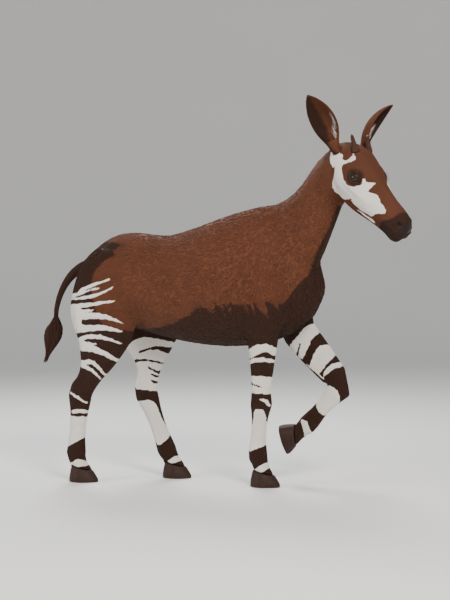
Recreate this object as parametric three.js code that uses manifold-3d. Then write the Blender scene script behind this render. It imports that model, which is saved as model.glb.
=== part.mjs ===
// A life-size okapi bull in mid walk, its left foreleg lifted and its head turned to its right.
// Millimetres: +X is forward, +Y the animal's left and +Z up. The body is drawn about its own
// midline, and the whole is set down at the end with its origin on the floor, under its middle.

import * as THREE from 'three';
import { LoftGeometry } from 'three/addons/geometries/LoftGeometry.js';
import { mergeVertices } from 'three/addons/utils/BufferGeometryUtils.js';
import Module from 'manifold-3d';

const wasm = await Module();
wasm.setup();

// Driving dimensions
const WITHERS_HEIGHT = 1490;
const HEAD_LENGTH = 620;
const EAR_LENGTH = 318;
const OSSICONE_LENGTH = 98;
const EYE_RADIUS = 33;
const TUFT_LENGTH = 250;
const HOOF_HEIGHT = 92;
const LIFTED_PASTERN = 74;
const CLEFT_WIDTH = 6;
const PARTING = 0.3;
const CUT_REACH = 1.9;
const JOINT_ROUNDING = 0.35;

// Where the middle of the body's outline lies, in the body's own frame
const MIDDLE = new THREE.Vector3(2, -74, 0);

// The way that the head is turned from straight ahead, and how far the nose points down
const HEAD_TURN = THREE.MathUtils.degToRad(-37);
const HEAD_DROP = THREE.MathUtils.degToRad(40);
const HEAD_PLACE = new THREE.Vector3(652, -98, 1748);

const AHEAD = new THREE.Vector3(1, 0, 0);
const LEFT = new THREE.Vector3(0, 1, 0);
const UP = new THREE.Vector3(0, 0, 1);
const DOWN = new THREE.Vector3(0, 0, -1);

const coat = new THREE.MeshStandardMaterial({ color: 0x6a3e2d, roughness: 0.85, metalness: 0 });
const darkCoat = new THREE.MeshStandardMaterial({ color: 0x38231b, roughness: 0.85, metalness: 0 });
const hoofHorn = new THREE.MeshStandardMaterial({ color: 0x4b2d22, roughness: 0.5, metalness: 0 });
const ossiconeHorn = new THREE.MeshStandardMaterial({ color: 0x5b3a2a, roughness: 0.6, metalness: 0 });
const eyeGlass = new THREE.MeshStandardMaterial({ color: 0x120a07, roughness: 0.08, metalness: 0 });

function vec(x, y, z) {
  return new THREE.Vector3(x, y, z);
}

// A closed geometry, moved to its place, as a solid that can be joined and cut.
function solid(geometry, place = new THREE.Matrix4()) {
  geometry.applyMatrix4(place);
  geometry.deleteAttribute('normal');
  geometry.deleteAttribute('uv');
  const welded = mergeVertices(new THREE.BufferGeometry().copy(geometry), 0.001);
  return new wasm.Manifold(new wasm.Mesh({
    numProp: 3,
    vertProperties: new Float32Array(welded.attributes.position.array),
    triVerts: new Uint32Array(welded.index.array),
  }));
}

function largest(pieces) {
  return pieces.reduce((best, piece) => (piece.volume() > best.volume() ? piece : best));
}

// Flesh is a line of rings. Each station gives the ring's middle, its reach to the front and to the
// back of the line, its half width, and how much it narrows towards the front and the back edge.
// Along the trunk, neck and head the line's front edge is the back of the animal, and down a leg
// it is the leg's own front.
class Flesh {
  constructor(stations, { left = LEFT, facing = null } = {}) {
    this.start = stations[0].at;
    this.end = stations.at(-1).at;
    this.left = left;
    this.facing = facing;
    const values = stations.flatMap(({ middle, fore, aft, side, foreTaper = 0, aftTaper = 0 }) => [
      middle.x, middle.y, middle.z, fore, aft, side, foreTaper, aftTaper,
    ]);
    this.line = new THREE.CubicInterpolant(stations.map((station) => station.at), values, 8);
  }

  middle(at) {
    return vec(...this.line.evaluate(at));
  }

  frame(at) {
    const step = (this.end - this.start) / 400;
    const before = this.middle(Math.max(this.start, at - step));
    const after = this.middle(Math.min(this.end, at + step));
    const ahead = this.facing ? this.facing.clone() : after.sub(before).normalize();
    const left = this.left.clone().addScaledVector(ahead, -ahead.dot(this.left)).normalize();
    return { middle: this.middle(at), ahead, left, front: ahead.clone().cross(left) };
  }

  reach(at) {
    return Math.max(...this.line.evaluate(at).slice(3, 6));
  }

  // The surface point at a turn of the ring: 0 is the left, a quarter turn on is the front.
  point(at, turn, extra = 0) {
    const { middle, left, front } = this.frame(at);
    const [, , , fore, aft, side, foreTaper, aftTaper] = this.line.evaluate(at);
    const across = Math.cos(turn);
    const along = Math.sin(turn);
    const taper = along > 0 ? foreTaper : aftTaper;
    return middle
      .addScaledVector(left, across * (side * (1 - taper * along * along) + extra))
      .addScaledVector(front, along * ((along > 0 ? fore : aft) + extra));
  }

  // The solid between two places on the line, swollen by the extra where it cuts a socket.
  solid({ rings, sides, extra = 0, from = this.start, to = this.end, place }) {
    const sections = [];
    for (let i = 0; i <= rings; i++) {
      const at = from + (to - from) * (i / rings);
      const shift = i === 0 ? -extra : i === rings ? extra : 0;
      const { ahead } = this.frame(at);
      const section = [];
      for (let j = 0; j < sides; j++) {
        const turn = (2 * Math.PI * (j + 0.5)) / sides;
        section.push(this.point(at, turn, extra).addScaledVector(ahead, shift));
      }
      sections.push(section);
    }
    return solid(new LoftGeometry(sections, { capStart: true, capEnd: true }), place);
  }
}

// A thin flat cutter across a line of flesh.
function slab(place, normal, reach, thickness = PARTING) {
  const cutter = new THREE.BoxGeometry(thickness, 2 * reach, 2 * reach);
  cutter.applyQuaternion(new THREE.Quaternion().setFromUnitVectors(AHEAD, normal));
  cutter.translate(place.x, place.y, place.z);
  return solid(cutter);
}

// Parts a solid with a thin cut and gives the piece behind the cut and the piece ahead of it.
function parted(whole, place, normal, reach) {
  const pieces = whole.subtract(slab(place, normal, reach)).decompose();
  const beside = (piece, way) => {
    const probe = slab(place.clone().addScaledVector(normal, 3 * way), normal, reach, 4);
    return piece.intersect(probe).volume();
  };
  const isAhead = (piece) => beside(piece, 1) > beside(piece, -1);
  return [largest(pieces.filter((piece) => !isAhead(piece))), largest(pieces.filter(isAhead))];
}

// The trunk, from the rump to the breast. Heights are above the floor.
const TRUNK = [
  { x: -806, top: 1105, bottom: 1020, half: 58 },
  { x: -765, top: 1212, bottom: 945, half: 138 },
  { x: -690, top: 1292, bottom: 890, half: 184 },
  { x: -580, top: 1344, bottom: 850, half: 210 },
  { x: -460, top: 1350, bottom: 812, half: 224 },
  { x: -330, top: 1334, bottom: 776, half: 232 },
  { x: -180, top: 1370, bottom: 748, half: 246 },
  { x: -20, top: 1430, bottom: 732, half: 248 },
  { x: 120, top: 1472, bottom: 735, half: 236 },
  { x: 225, top: WITHERS_HEIGHT, bottom: 748, half: 216 },
  { x: 330, top: 1478, bottom: 785, half: 196 },
  { x: 430, top: 1390, bottom: 845, half: 168 },
  { x: 500, top: 1260, bottom: 915, half: 124 },
  { x: 537, top: 1150, bottom: 990, half: 66 },
  { x: 546, top: 1100, bottom: 1040, half: 24 },
];

const trunk = new Flesh(TRUNK.map(({ x, top, bottom, half }) => {
  const waist = bottom + 0.46 * (top - bottom);
  return { at: x, middle: vec(x, 0, waist), fore: top - waist, aft: waist - bottom, side: half, foreTaper: 0.3 };
}), { facing: AHEAD });

// The head's own frame: its X runs from the poll to the nose, Y to its left and Z to its crown.
const headFrame = new THREE.Matrix4().makeRotationFromEuler(new THREE.Euler(0, HEAD_DROP, HEAD_TURN, 'ZYX'));
headFrame.setPosition(HEAD_PLACE);
const headLeft = LEFT.clone().transformDirection(headFrame);

// The head, from behind the poll to the lips.
const HEAD = [
  { x: -66, top: -12, bottom: -48, half: 18 },
  { x: -52, top: 22, bottom: -82, half: 50 },
  { x: -22, top: 60, bottom: -112, half: 76 },
  { x: 20, top: 90, bottom: -142, half: 93 },
  { x: 74, top: 112, bottom: -169, half: 100, brow: 0.1 },
  { x: 136, top: 122, bottom: -178, half: 106 },
  { x: 212, top: 109, bottom: -173, half: 109 },
  { x: 282, top: 91, bottom: -163, half: 97, brow: 0.1 },
  { x: 357, top: 74, bottom: -144, half: 77, brow: 0.15 },
  { x: 440, top: 62, bottom: -125, half: 64, brow: 0.1 },
  { x: 516, top: 57, bottom: -111, half: 63, brow: 0.05 },
  { x: 569, top: 48, bottom: -106, half: 62 },
  { x: 598, top: 31, bottom: -92, half: 54 },
  { x: 614, top: 8, bottom: -68, half: 37 },
  { x: HEAD_LENGTH, top: -10, bottom: -48, half: 15 },
];

const skull = new Flesh(HEAD.map(({ x, top, bottom, half, brow = 0 }) => {
  const cheek = bottom + 0.58 * (top - bottom);
  return {
    at: x, middle: vec(x, 0, cheek), fore: top - cheek, aft: cheek - bottom, side: half,
    foreTaper: brow, aftTaper: 0.35,
  };
}), { facing: AHEAD });

// The neck rises from the withers and the breast and turns to the right into the skull.
const NECK = [
  { at: 0, middle: vec(250, 0, 1215), fore: 262, aft: 250, side: 168 },
  { at: 1, middle: vec(365, 0, 1340), fore: 202, aft: 226, side: 134 },
  { at: 2, middle: vec(465, -10, 1470), fore: 132, aft: 176, side: 104 },
  { at: 3, middle: vec(545, -38, 1580), fore: 118, aft: 142, side: 95 },
  { at: 4, middle: vec(608, -80, 1645), fore: 128, aft: 136, side: 94 },
  { at: 5, middle: vec(670, -118, 1670), fore: 92, aft: 112, side: 84 },
];

const neckLine = new Flesh(NECK.map((station) => ({ ...station, foreTaper: 0.35 })), { left: LEFT.clone().lerp(headLeft, 0.5) });

// The legs. Each girth row is read down the leg, in joints from its top, and each pose gives the
// places of those joints. What the reach to the front and back leaves out of line with the bones,
// such as the point of the hock, is in the difference between the two.
const FORELEG = [
  { at: 0, fore: 52, aft: 55, side: 20 },
  { at: 0.5, fore: 92, aft: 98, side: 56, edge: 0.4 },
  { at: 1, fore: 122, aft: 122, side: 84, edge: 0.45 },
  { at: 2, fore: 116, aft: 124, side: 84, edge: 0.35 },
  { at: 2.6, fore: 90, aft: 106, side: 76, edge: 0.2 },
  { at: 3, fore: 83, aft: 96, side: 66 },
  { at: 3.3, fore: 76, aft: 77, side: 58 },
  { at: 3.6, fore: 65, aft: 62, side: 49 },
  { at: 3.85, fore: 61, aft: 53, side: 46 },
  { at: 4, fore: 69, aft: 54, side: 51 },
  { at: 4.15, fore: 61, aft: 49, side: 47 },
  { at: 4.35, fore: 47, aft: 43, side: 35 },
  { at: 4.6, fore: 43, aft: 44, side: 32 },
  { at: 4.85, fore: 46, aft: 50, side: 37 },
  { at: 5, fore: 53, aft: 59, side: 45 },
  { at: 5.4, fore: 46, aft: 47, side: 41 },
  { at: 6, fore: 47, aft: 46, side: 44 },
];

const HINDLEG = [
  { at: 0, fore: 100, aft: 110, side: 40 },
  { at: 0.5, fore: 160, aft: 165, side: 80, edge: 0.3 },
  { at: 1, fore: 188, aft: 186, side: 106, edge: 0.35 },
  { at: 2, fore: 198, aft: 196, side: 112, edge: 0.3 },
  { at: 3, fore: 150, aft: 142, side: 90, edge: 0.15 },
  { at: 3.5, fore: 112, aft: 104, side: 70 },
  { at: 4, fore: 78, aft: 76, side: 55 },
  { at: 4.5, fore: 63, aft: 68, side: 48 },
  { at: 4.8, fore: 61, aft: 81, side: 48 },
  { at: 5, fore: 63, aft: 74, side: 50 },
  { at: 5.2, fore: 55, aft: 56, side: 43 },
  { at: 5.5, fore: 47, aft: 48, side: 36 },
  { at: 5.8, fore: 48, aft: 51, side: 38 },
  { at: 6, fore: 54, aft: 60, side: 46 },
  { at: 6.4, fore: 46, aft: 50, side: 42 },
  { at: 7, fore: 48, aft: 47, side: 44 },
];

// A bent leg is fuller round the bend: where along the leg, how far along it the swelling reaches,
// and how much it adds in front and behind.
const STRAIGHT = { at: 0, spread: 1, fore: 0, aft: 0 };
const LIFTED_FOREARM = { at: 3.6, spread: 0.65, fore: 24, aft: 18 };
const FORWARD_STIFLE = { at: 3, spread: 0.8, fore: 60, aft: 8 };

// A foreleg's joints are the top of the blade, the shoulder, the arm, the elbow, the knee, the
// fetlock and the foot of the pastern. A hind leg's are the top of the pelvis, the hip, the thigh,
// the stifle, the shank, the hock, the fetlock and the foot of the pastern.
const LEGS = [
  {
    name: 'foreleg_right', girths: FORELEG, cuts: [3, 4], bones: ['arm', 'forearm', 'cannon'], flexed: 0,
    joints: [
      vec(190, -118, 1352), vec(265, -138, 1150), vec(276, -146, 960), vec(245, -138, 815),
      vec(215, -92, 458), vec(194, -50, 170), vec(218, -46, 76),
    ],
  },
  {
    name: 'foreleg_left', girths: FORELEG, cuts: [3, 4], bones: ['arm', 'forearm', 'cannon'], flexed: -74,
    bend: LIFTED_FOREARM,
    joints: [
      vec(205, 118, 1352), vec(300, 138, 1150), vec(350, 146, 965), vec(372, 142, 810),
      vec(602, 130, 531), vec(436, 122, 322), vec(358, 120, 264),
    ],
  },
  {
    name: 'hindleg_right', girths: HINDLEG, cuts: [3, 5], bones: ['thigh', 'shank', 'cannon'], flexed: 0,
    joints: [
      vec(-585, -104, 1240), vec(-622, -135, 1070), vec(-630, -150, 900), vec(-640, -158, 745),
      vec(-695, -156, 600), vec(-765, -150, 468), vec(-797, -134, 152), vec(-770, -130, 70),
    ],
  },
  {
    name: 'hindleg_left', girths: HINDLEG, cuts: [3, 5], bones: ['thigh', 'shank', 'cannon'], flexed: 0,
    bend: FORWARD_STIFLE,
    joints: [
      vec(-588, 104, 1240), vec(-590, 135, 1070), vec(-545, 150, 905), vec(-495, 160, 765),
      vec(-478, 158, 625), vec(-488, 150, 455), vec(-365, 134, 152), vec(-322, 130, 74),
    ],
  },
];

// A hoof, as levels above the sole: how far the wall stands out at the toe, the heel and the side
// from under the foot of the pastern.
const HOOF = [
  { level: 0, toe: 98, heel: 66, side: 58 },
  { level: 14, toe: 97, heel: 67, side: 60 },
  { level: 50, toe: 74, heel: 62, side: 56 },
  { level: 80, toe: 54, heel: 55, side: 50 },
  { level: 104, toe: 38, heel: 49, side: 45 },
];

// The wall of both claws in the foot's own frame, with the sole on the floor plane.
const hoof = new Flesh(HOOF.map(({ level, toe, heel, side }) => ({
  at: -level, middle: vec(0, 0, level), fore: toe, aft: heel, side, foreTaper: 0.25,
})).reverse(), { facing: DOWN });

// One leg as its bones' pieces from the top down, the two claws, and the solid that its top fills
// in the trunk.
function buildLeg({ girths, joints, cuts, flexed, bend = STRAIGHT }) {
  const last = joints.length - 1;
  const onBones = girths.map(({ at }) => {
    const bone = Math.min(Math.floor(at), last - 1);
    return joints[bone].clone().lerp(joints[bone + 1], at - bone);
  });
  const limb = new Flesh(girths.map(({ edge = 0, ...girth }, i) => {
    const chord = onBones[Math.max(i - 1, 0)].clone().lerp(onBones[Math.min(i + 1, girths.length - 1)], 0.5);
    const round = i === 0 || i === girths.length - 1 ? 0 : JOINT_ROUNDING;
    const swell = Math.exp(-(((girth.at - bend.at) / bend.spread) ** 2));
    return {
      at: girth.at, middle: onBones[i].clone().lerp(chord, round), fore: girth.fore + swell * bend.fore,
      aft: girth.aft + swell * bend.aft, side: girth.side, foreTaper: edge, aftTaper: edge / 2,
    };
  }));
  const mesh = { rings: 28, sides: 12 };

  const foot = new THREE.Group();
  foot.rotation.y = THREE.MathUtils.degToRad(-flexed);
  const lift = vec(0, 0, flexed === 0 ? joints[last].z : LIFTED_PASTERN);
  foot.position.copy(joints[last]).sub(lift.applyEuler(foot.rotation));
  foot.updateMatrix();

  const toe = AHEAD.clone().transformDirection(foot.matrix);
  const sole = DOWN.clone().transformDirection(foot.matrix);
  const whole = limb.solid(mesh).add(hoof.solid({ rings: 6, sides: 18, place: foot.matrix }));

  // The coronet, where horn meets hair, slopes down to the heel.
  const slope = vec(-0.26, 0, -1).normalize().transformDirection(foot.matrix);
  const coronet = foot.position.clone().addScaledVector(sole, -0.84 * HOOF_HEIGHT);
  const [shankAndPastern, horn] = parted(whole, coronet, slope, 120);
  const cleft = slab(coronet.clone().addScaledVector(sole, 70).addScaledVector(toe, 20), LEFT, 100, CLEFT_WIDTH);
  const claws = horn.subtract(cleft).decompose().sort((a, b) => b.volume() - a.volume()).slice(0, 2);

  const bones = [];
  let rest = shankAndPastern.subtract(cleft);
  for (const cut of cuts) {
    const { middle, ahead } = limb.frame(cut);
    const [upper, lower] = parted(rest, middle, ahead, CUT_REACH * limb.reach(cut));
    bones.push(upper);
    rest = lower;
  }
  bones.push(rest);
  const socket = limb.solid({ ...mesh, extra: PARTING });
  return { bones, claws, socket };
}

// The tail: a dock that falls from the rump, and the tuft of locks at its end.
const DOCK = [
  { at: 0, middle: vec(-735, 0, 1172), fore: 34, aft: 34, side: 34 },
  { at: 1, middle: vec(-800, -4, 1158), fore: 34, aft: 34, side: 33 },
  { at: 2, middle: vec(-872, -10, 1106), fore: 26, aft: 27, side: 26 },
  { at: 3, middle: vec(-925, -14, 1022), fore: 21, aft: 21, side: 20 },
  { at: 4, middle: vec(-951, -16, 938), fore: 18, aft: 18, side: 17 },
  { at: 5, middle: vec(-958, -17, 872), fore: 16, aft: 16, side: 15 },
];
const dock = new Flesh(DOCK);

const LOCK_COUNT = 16;
const LOCK_HALF_WIDTH = 14;
const LOCK_HALF_THICKNESS = 3.2;
const GOLDEN_TURN = Math.PI * (3 - Math.sqrt(5));

// The tuft is a short core with flat locks round it, which leave it one above the other, lie down
// over those below and end at different heights.
function buildTuft() {
  const { middle: root, ahead } = dock.frame(5);
  const start = root.clone().addScaledVector(ahead, PARTING);
  const bend = vec(-0.16, 0, 0);
  const along = (share) => start.clone()
    .addScaledVector(ahead, TUFT_LENGTH * share)
    .addScaledVector(bend, TUFT_LENGTH * share * share);
  const core = new Flesh([
    { at: 0, middle: along(0), fore: 16, aft: 16, side: 15 },
    { at: 0.25, middle: along(0.25), fore: 25, aft: 25, side: 22 },
    { at: 0.5, middle: along(0.5), fore: 11, aft: 11, side: 10 },
  ]);
  const pieces = [core.solid({ rings: 4, sides: 8 })];
  for (let i = 0; i < LOCK_COUNT; i++) {
    const turn = i * GOLDEN_TURN;
    const leaves = 0.06 + 0.3 * (i / LOCK_COUNT);
    const tip = 0.72 + 0.28 * ((i * 7) % LOCK_COUNT) / (LOCK_COUNT - 1);
    const out = vec(Math.cos(turn), Math.sin(turn), 0);
    const reach = (share) => 10 + 38 * Math.sin(Math.PI * Math.min(1, 0.2 + share)) * (1 - 0.35 * share);
    const shares = [0, 0.3, 0.65, 0.9, 1];
    const widths = [0.8, 1, 0.8, 0.4, 0.1];
    const lock = new Flesh(shares.map((share, k) => ({
      at: share,
      middle: along(leaves + (tip - leaves) * share).addScaledVector(out, reach(share) * (k === 0 ? 0.4 : 1)),
      fore: LOCK_HALF_THICKNESS * Math.max(widths[k], 0.3),
      aft: LOCK_HALF_THICKNESS * Math.max(widths[k], 0.3),
      side: LOCK_HALF_WIDTH * widths[k],
    })), { left: vec(-Math.sin(turn), Math.cos(turn), 0) });
    pieces.push(lock.solid({ rings: 4, sides: 4 }));
  }
  const whole = pieces.reduce((tuft, piece) => tuft.add(piece));
  return parted(whole, start.clone().addScaledVector(ahead, -PARTING / 2), ahead, 60)[1];
}

// The ears stand up and out from behind the crown, each a cup with its mouth turned its own way:
// the right one is laid back and opens sideways, the left one is pricked and opens forwards.
const EAR_RISE = { '-1': vec(-0.66, -0.45, 0.6), 1: vec(-0.44, 0.57, 0.69) };
const EAR_ROOT = { '-1': vec(24, -84, 36), 1: vec(44, 84, 46) };
const EAR_MOUTH = { '-1': vec(0.55, -0.8, 0.1), 1: vec(0.85, 0.42, 0.1) };
const EAR = [
  { at: -0.06, back: 19, mouth: 18, half: 21 },
  { at: 0, back: 23, mouth: 22, half: 25 },
  { at: 0.12, back: 29, mouth: 25, half: 35 },
  { at: 0.3, back: 44, mouth: 14, half: 61 },
  { at: 0.5, back: 46, mouth: 8, half: 71 },
  { at: 0.7, back: 37, mouth: 6, half: 62 },
  { at: 0.85, back: 23, mouth: 5, half: 41 },
  { at: 0.95, back: 12, mouth: 4, half: 20 },
  { at: 1, back: 4, mouth: 3, half: 5 },
];
const EAR_WALL = 6;
const EAR_CUP_START = 0.17;
const EAR_CUP_END = 0.95;

function buildEar(side) {
  const root = EAR_ROOT[side];
  const rise = EAR_RISE[side].clone().normalize();
  const opening = EAR_MOUTH[side].clone();
  opening.addScaledVector(rise, -opening.dot(rise)).normalize();
  const lean = rise.clone().cross(opening).multiplyScalar(0.05 * EAR_LENGTH);
  const left = opening.clone().cross(rise);
  const middle = (share) => root.clone()
    .addScaledVector(rise, EAR_LENGTH * share)
    .addScaledVector(opening, -18 * Math.sin(Math.PI * share))
    .addScaledVector(lean, side * share * share);
  const outer = new Flesh(EAR.map(({ at, back, mouth, half }) => ({
    at, middle: middle(at), fore: mouth, aft: back, side: half,
  })), { left });
  const mesh = { rings: 11, sides: 14, place: headFrame };
  const cup = new Flesh(EAR.filter(({ at }) => at > 0.1 && at < 0.99).map(({ at, back, half }) => ({
    at, middle: middle(at), fore: 60,
    aft: Math.max(back - EAR_WALL, 3) * (at < 0.2 ? 0.2 : 1),
    side: Math.max(half - EAR_WALL, 4) * (at < 0.2 ? 0.4 : 1),
  })), { left });
  const hollow = cup.solid({ rings: 8, sides: 14, from: EAR_CUP_START, to: EAR_CUP_END, place: headFrame });
  return { ear: outer.solid(mesh).subtract(hollow), socket: outer.solid({ ...mesh, extra: PARTING }) };
}

// The ossicones lean back from the crown in front of the ears, thick at the root, bare at the tip.
function buildOssicone(side) {
  const root = skull.point(116, Math.PI / 2 - side * 0.52, -12);
  const rise = vec(-0.8, side * 0.12, 0.6).normalize();
  const horn = new Flesh([
    { at: 0, middle: root, fore: 22, aft: 22, side: 20 },
    { at: 0.15, middle: root.clone().addScaledVector(rise, 0.15 * OSSICONE_LENGTH), fore: 21, aft: 21, side: 19 },
    { at: 0.5, middle: root.clone().addScaledVector(rise, 0.5 * OSSICONE_LENGTH), fore: 14, aft: 14, side: 13 },
    { at: 0.85, middle: root.clone().addScaledVector(rise, 0.85 * OSSICONE_LENGTH), fore: 10, aft: 10, side: 10 },
    { at: 1, middle: root.clone().addScaledVector(rise, OSSICONE_LENGTH), fore: 4, aft: 4, side: 4 },
  ], { left: LEFT });
  const mesh = { rings: 8, sides: 10, place: headFrame };
  return { horn: horn.solid(mesh), socket: horn.solid({ ...mesh, extra: PARTING }) };
}

// An eye lies in its socket under two lids, which part in an almond.
const EYE_PLACE = 229;
const EYE_SINK = 22;
const EYE_TURN = 0.36;
const LID_THICKNESS = 5.5;
const ALMOND_LENGTH = 66;
const ALMOND_HEIGHT = 46;

function eyeCentre(side) {
  return skull.point(EYE_PLACE, side > 0 ? EYE_TURN : Math.PI - EYE_TURN, -EYE_SINK);
}

function ball(centre, radius, { stretch = vec(1, 1, 1), turn = new THREE.Quaternion(), sides = 14 } = {}) {
  const sphere = new THREE.SphereGeometry(radius, sides, Math.round(sides / 1.6));
  sphere.scale(stretch.x, stretch.y, stretch.z);
  sphere.applyQuaternion(turn);
  sphere.translate(centre.x, centre.y, centre.z);
  return solid(sphere, headFrame);
}

function almond(centre, side) {
  const outline = new THREE.Shape();
  outline.moveTo(-ALMOND_LENGTH / 2, 0);
  outline.quadraticCurveTo(0, ALMOND_HEIGHT, ALMOND_LENGTH / 2, 0);
  outline.quadraticCurveTo(0, -ALMOND_HEIGHT, -ALMOND_LENGTH / 2, 0);
  const opening = new THREE.ExtrudeGeometry(outline, { depth: 60, bevelEnabled: false, curveSegments: 6 });
  const look = vec(0.22, side, 0.12).normalize();
  const along = vec(1, 0, -0.22);
  along.addScaledVector(look, -along.dot(look)).normalize();
  opening.applyMatrix4(new THREE.Matrix4().makeBasis(along, look.clone().cross(along), look));
  opening.translate(centre.x, centre.y, centre.z);
  return solid(opening, headFrame);
}

// A roll or groove that follows the muzzle round from one corner of the mouth to the other.
function roundMuzzle(level, radius, inset) {
  const places = [472, 508, 544, 576, 602];
  const right = places.map((x) => {
    const turn = Math.asin(THREE.MathUtils.clamp((level - skull.middle(x).z) / skull.line.evaluate(x)[4], -1, 1));
    return skull.point(x, Math.PI - turn, -inset);
  });
  const nose = vec(HEAD_LENGTH - inset - 2, 0, level);
  const left = right.map((p) => vec(p.x, -p.y, p.z)).reverse();
  const path = [...right, nose, ...left];
  const span = path.length - 1;
  return new Flesh(path.map((middle, i) => {
    const size = radius * (i === 0 || i === span ? 0.45 : 1);
    return { at: i, middle, fore: size, aft: size, side: size };
  }), { left: UP }).solid({ rings: 16, sides: 6, place: headFrame });
}

// The head piece with what is carved in it, and the pieces that are rooted in it.
function buildHead(skullAndNape) {
  const mouthLevel = -40;
  let head = skullAndNape
    .add(roundMuzzle(mouthLevel + 10, 11, 7))
    .add(roundMuzzle(mouthLevel - 10, 10, 7));
  head = head.subtract(roundMuzzle(mouthLevel, 4.5, -1));
  const eyes = [];
  const ears = [];
  const ossicones = [];
  for (const side of [-1, 1]) {
    const centre = eyeCentre(side);
    const tilt = new THREE.Quaternion().setFromEuler(new THREE.Euler(0, 0.25, side * -0.15));
    const browRidge = ball(centre.clone().add(vec(-2, side * -4, 29)), 1, {
      stretch: vec(68, 23, 17), turn: tilt, sides: 16,
    });
    const nostril = skull.point(586, side > 0 ? 0.62 : Math.PI - 0.62, -1);
    const nostrilTurn = new THREE.Quaternion().setFromEuler(new THREE.Euler(side * 0.5, 0.9, side * -0.5));
    head = head
      .add(browRidge)
      .add(ball(centre, EYE_RADIUS + LID_THICKNESS, { stretch: vec(1.4, 1, 1.12), turn: tilt }))
      .subtract(ball(centre, EYE_RADIUS + PARTING))
      .subtract(almond(centre, side))
      .subtract(ball(nostril, 1, { stretch: vec(19, 11, 9), turn: nostrilTurn, sides: 10 }));
    const { ear, socket: earSocket } = buildEar(side);
    const { horn, socket: hornSocket } = buildOssicone(side);
    head = head.subtract(earSocket).subtract(hornSocket);
    eyes.push(ball(centre, EYE_RADIUS));
    ears.push(ear);
    ossicones.push(horn);
  }
  return { head: largest(head.decompose()), eyes, ears, ossicones };
}

// A named mesh in the frame of its group, from a solid in the body's frame.
function node(name, manifold, material, group) {
  const { vertProperties, triVerts } = manifold.getMesh();
  const geometry = new THREE.BufferGeometry();
  geometry.setAttribute('position', new THREE.BufferAttribute(new Float32Array(vertProperties), 3));
  geometry.setIndex(new THREE.BufferAttribute(new Uint32Array(triVerts), 1));
  group.updateMatrix();
  geometry.applyMatrix4(group.matrix.clone().invert());
  geometry.computeVertexNormals();
  const mesh = new THREE.Mesh(geometry, material);
  mesh.name = name;
  group.add(mesh);
}

const okapi = new THREE.Group();
okapi.name = 'okapi';
okapi.position.copy(MIDDLE).negate();

// Trunk, neck and skull are modelled as one and parted at the root of the neck and behind the jaw.
const bodyInOne = trunk.solid({ rings: 24, sides: 24 })
  .add(neckLine.solid({ rings: 12, sides: 20 }))
  .add(skull.solid({ rings: 26, sides: 22, place: headFrame }));
const [trunkPiece, neckAndHead] = parted(bodyInOne, vec(395, 0, 1265), vec(0.887, 0, 0.462), 420);
const [neckPiece, headPiece] = parted(neckAndHead, vec(595, -73, 1646), vec(0.86, -0.46, 0.23), 240);

const headGroup = new THREE.Group();
headGroup.applyMatrix4(headFrame);
okapi.add(headGroup);
const { head, eyes, ears, ossicones } = buildHead(headPiece);
node('head', head, coat, headGroup);
for (const [i, side] of ['right', 'left'].entries()) {
  node(`ear_${side}`, ears[i], darkCoat, headGroup);
  node(`ossicone_${side}`, ossicones[i], ossiconeHorn, headGroup);
  node(`eye_${side}`, eyes[i], eyeGlass, headGroup);
}

const bodyGroup = new THREE.Group();
okapi.add(bodyGroup);
node('neck', neckPiece, coat, bodyGroup);

let torso = trunkPiece.subtract(dock.solid({ rings: 12, sides: 12, extra: PARTING }));
for (const leg of LEGS) {
  const { bones, claws, socket } = buildLeg(leg);
  torso = torso.subtract(socket);
  const group = new THREE.Group();
  group.position.copy(leg.joints[0]);
  okapi.add(group);
  leg.bones.forEach((bone, i) => node(`${leg.name}_${bone}`, bones[i], i === 0 ? coat : darkCoat, group));
  claws.forEach((claw, i) => node(`${leg.name}_claw_${i + 1}`, claw, hoofHorn, group));
}
node('torso', largest(torso.decompose()), coat, bodyGroup);

const tailGroup = new THREE.Group();
tailGroup.position.copy(DOCK[0].middle);
okapi.add(tailGroup);
node('tail_dock', dock.solid({ rings: 12, sides: 12 }), darkCoat, tailGroup);
node('tail_tuft', buildTuft(), darkCoat, tailGroup);

export default okapi;
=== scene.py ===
import math

import bmesh
import bpy
import numpy as np
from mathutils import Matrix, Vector
from mathutils.bvhtree import BVHTree


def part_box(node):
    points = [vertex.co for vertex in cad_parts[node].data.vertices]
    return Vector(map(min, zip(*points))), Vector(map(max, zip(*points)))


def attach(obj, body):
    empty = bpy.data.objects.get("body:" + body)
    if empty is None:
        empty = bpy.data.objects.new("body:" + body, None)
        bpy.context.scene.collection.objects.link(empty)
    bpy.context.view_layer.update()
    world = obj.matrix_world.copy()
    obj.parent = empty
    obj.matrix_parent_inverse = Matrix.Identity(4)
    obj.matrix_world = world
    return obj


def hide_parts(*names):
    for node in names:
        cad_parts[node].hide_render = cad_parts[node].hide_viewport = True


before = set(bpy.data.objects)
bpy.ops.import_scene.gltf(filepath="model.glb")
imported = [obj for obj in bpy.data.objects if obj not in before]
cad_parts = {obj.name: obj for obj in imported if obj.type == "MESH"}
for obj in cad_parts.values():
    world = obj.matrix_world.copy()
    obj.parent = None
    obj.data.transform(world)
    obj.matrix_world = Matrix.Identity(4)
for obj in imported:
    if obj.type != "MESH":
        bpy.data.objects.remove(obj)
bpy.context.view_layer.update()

# Hide. One skin is drawn over the flesh of the trunk, neck, head, legs and tail dock. It is worked
# up as a modeller would in clay: a fine shell over the plain form, rubbed smooth, with the muscles
# and bones pressed out of it, and then laid back by the depth of the coat that grows on it.
MIDLINE = 0.074
HEAD_TURN = math.radians(-37)
HEAD_DROP = math.radians(40)
POLL = np.array([0.650, -0.024, 1.748])
NOSEWARD = np.array([
    math.cos(HEAD_TURN) * math.cos(HEAD_DROP),
    math.sin(HEAD_TURN) * math.cos(HEAD_DROP),
    -math.sin(HEAD_DROP),
])
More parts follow.
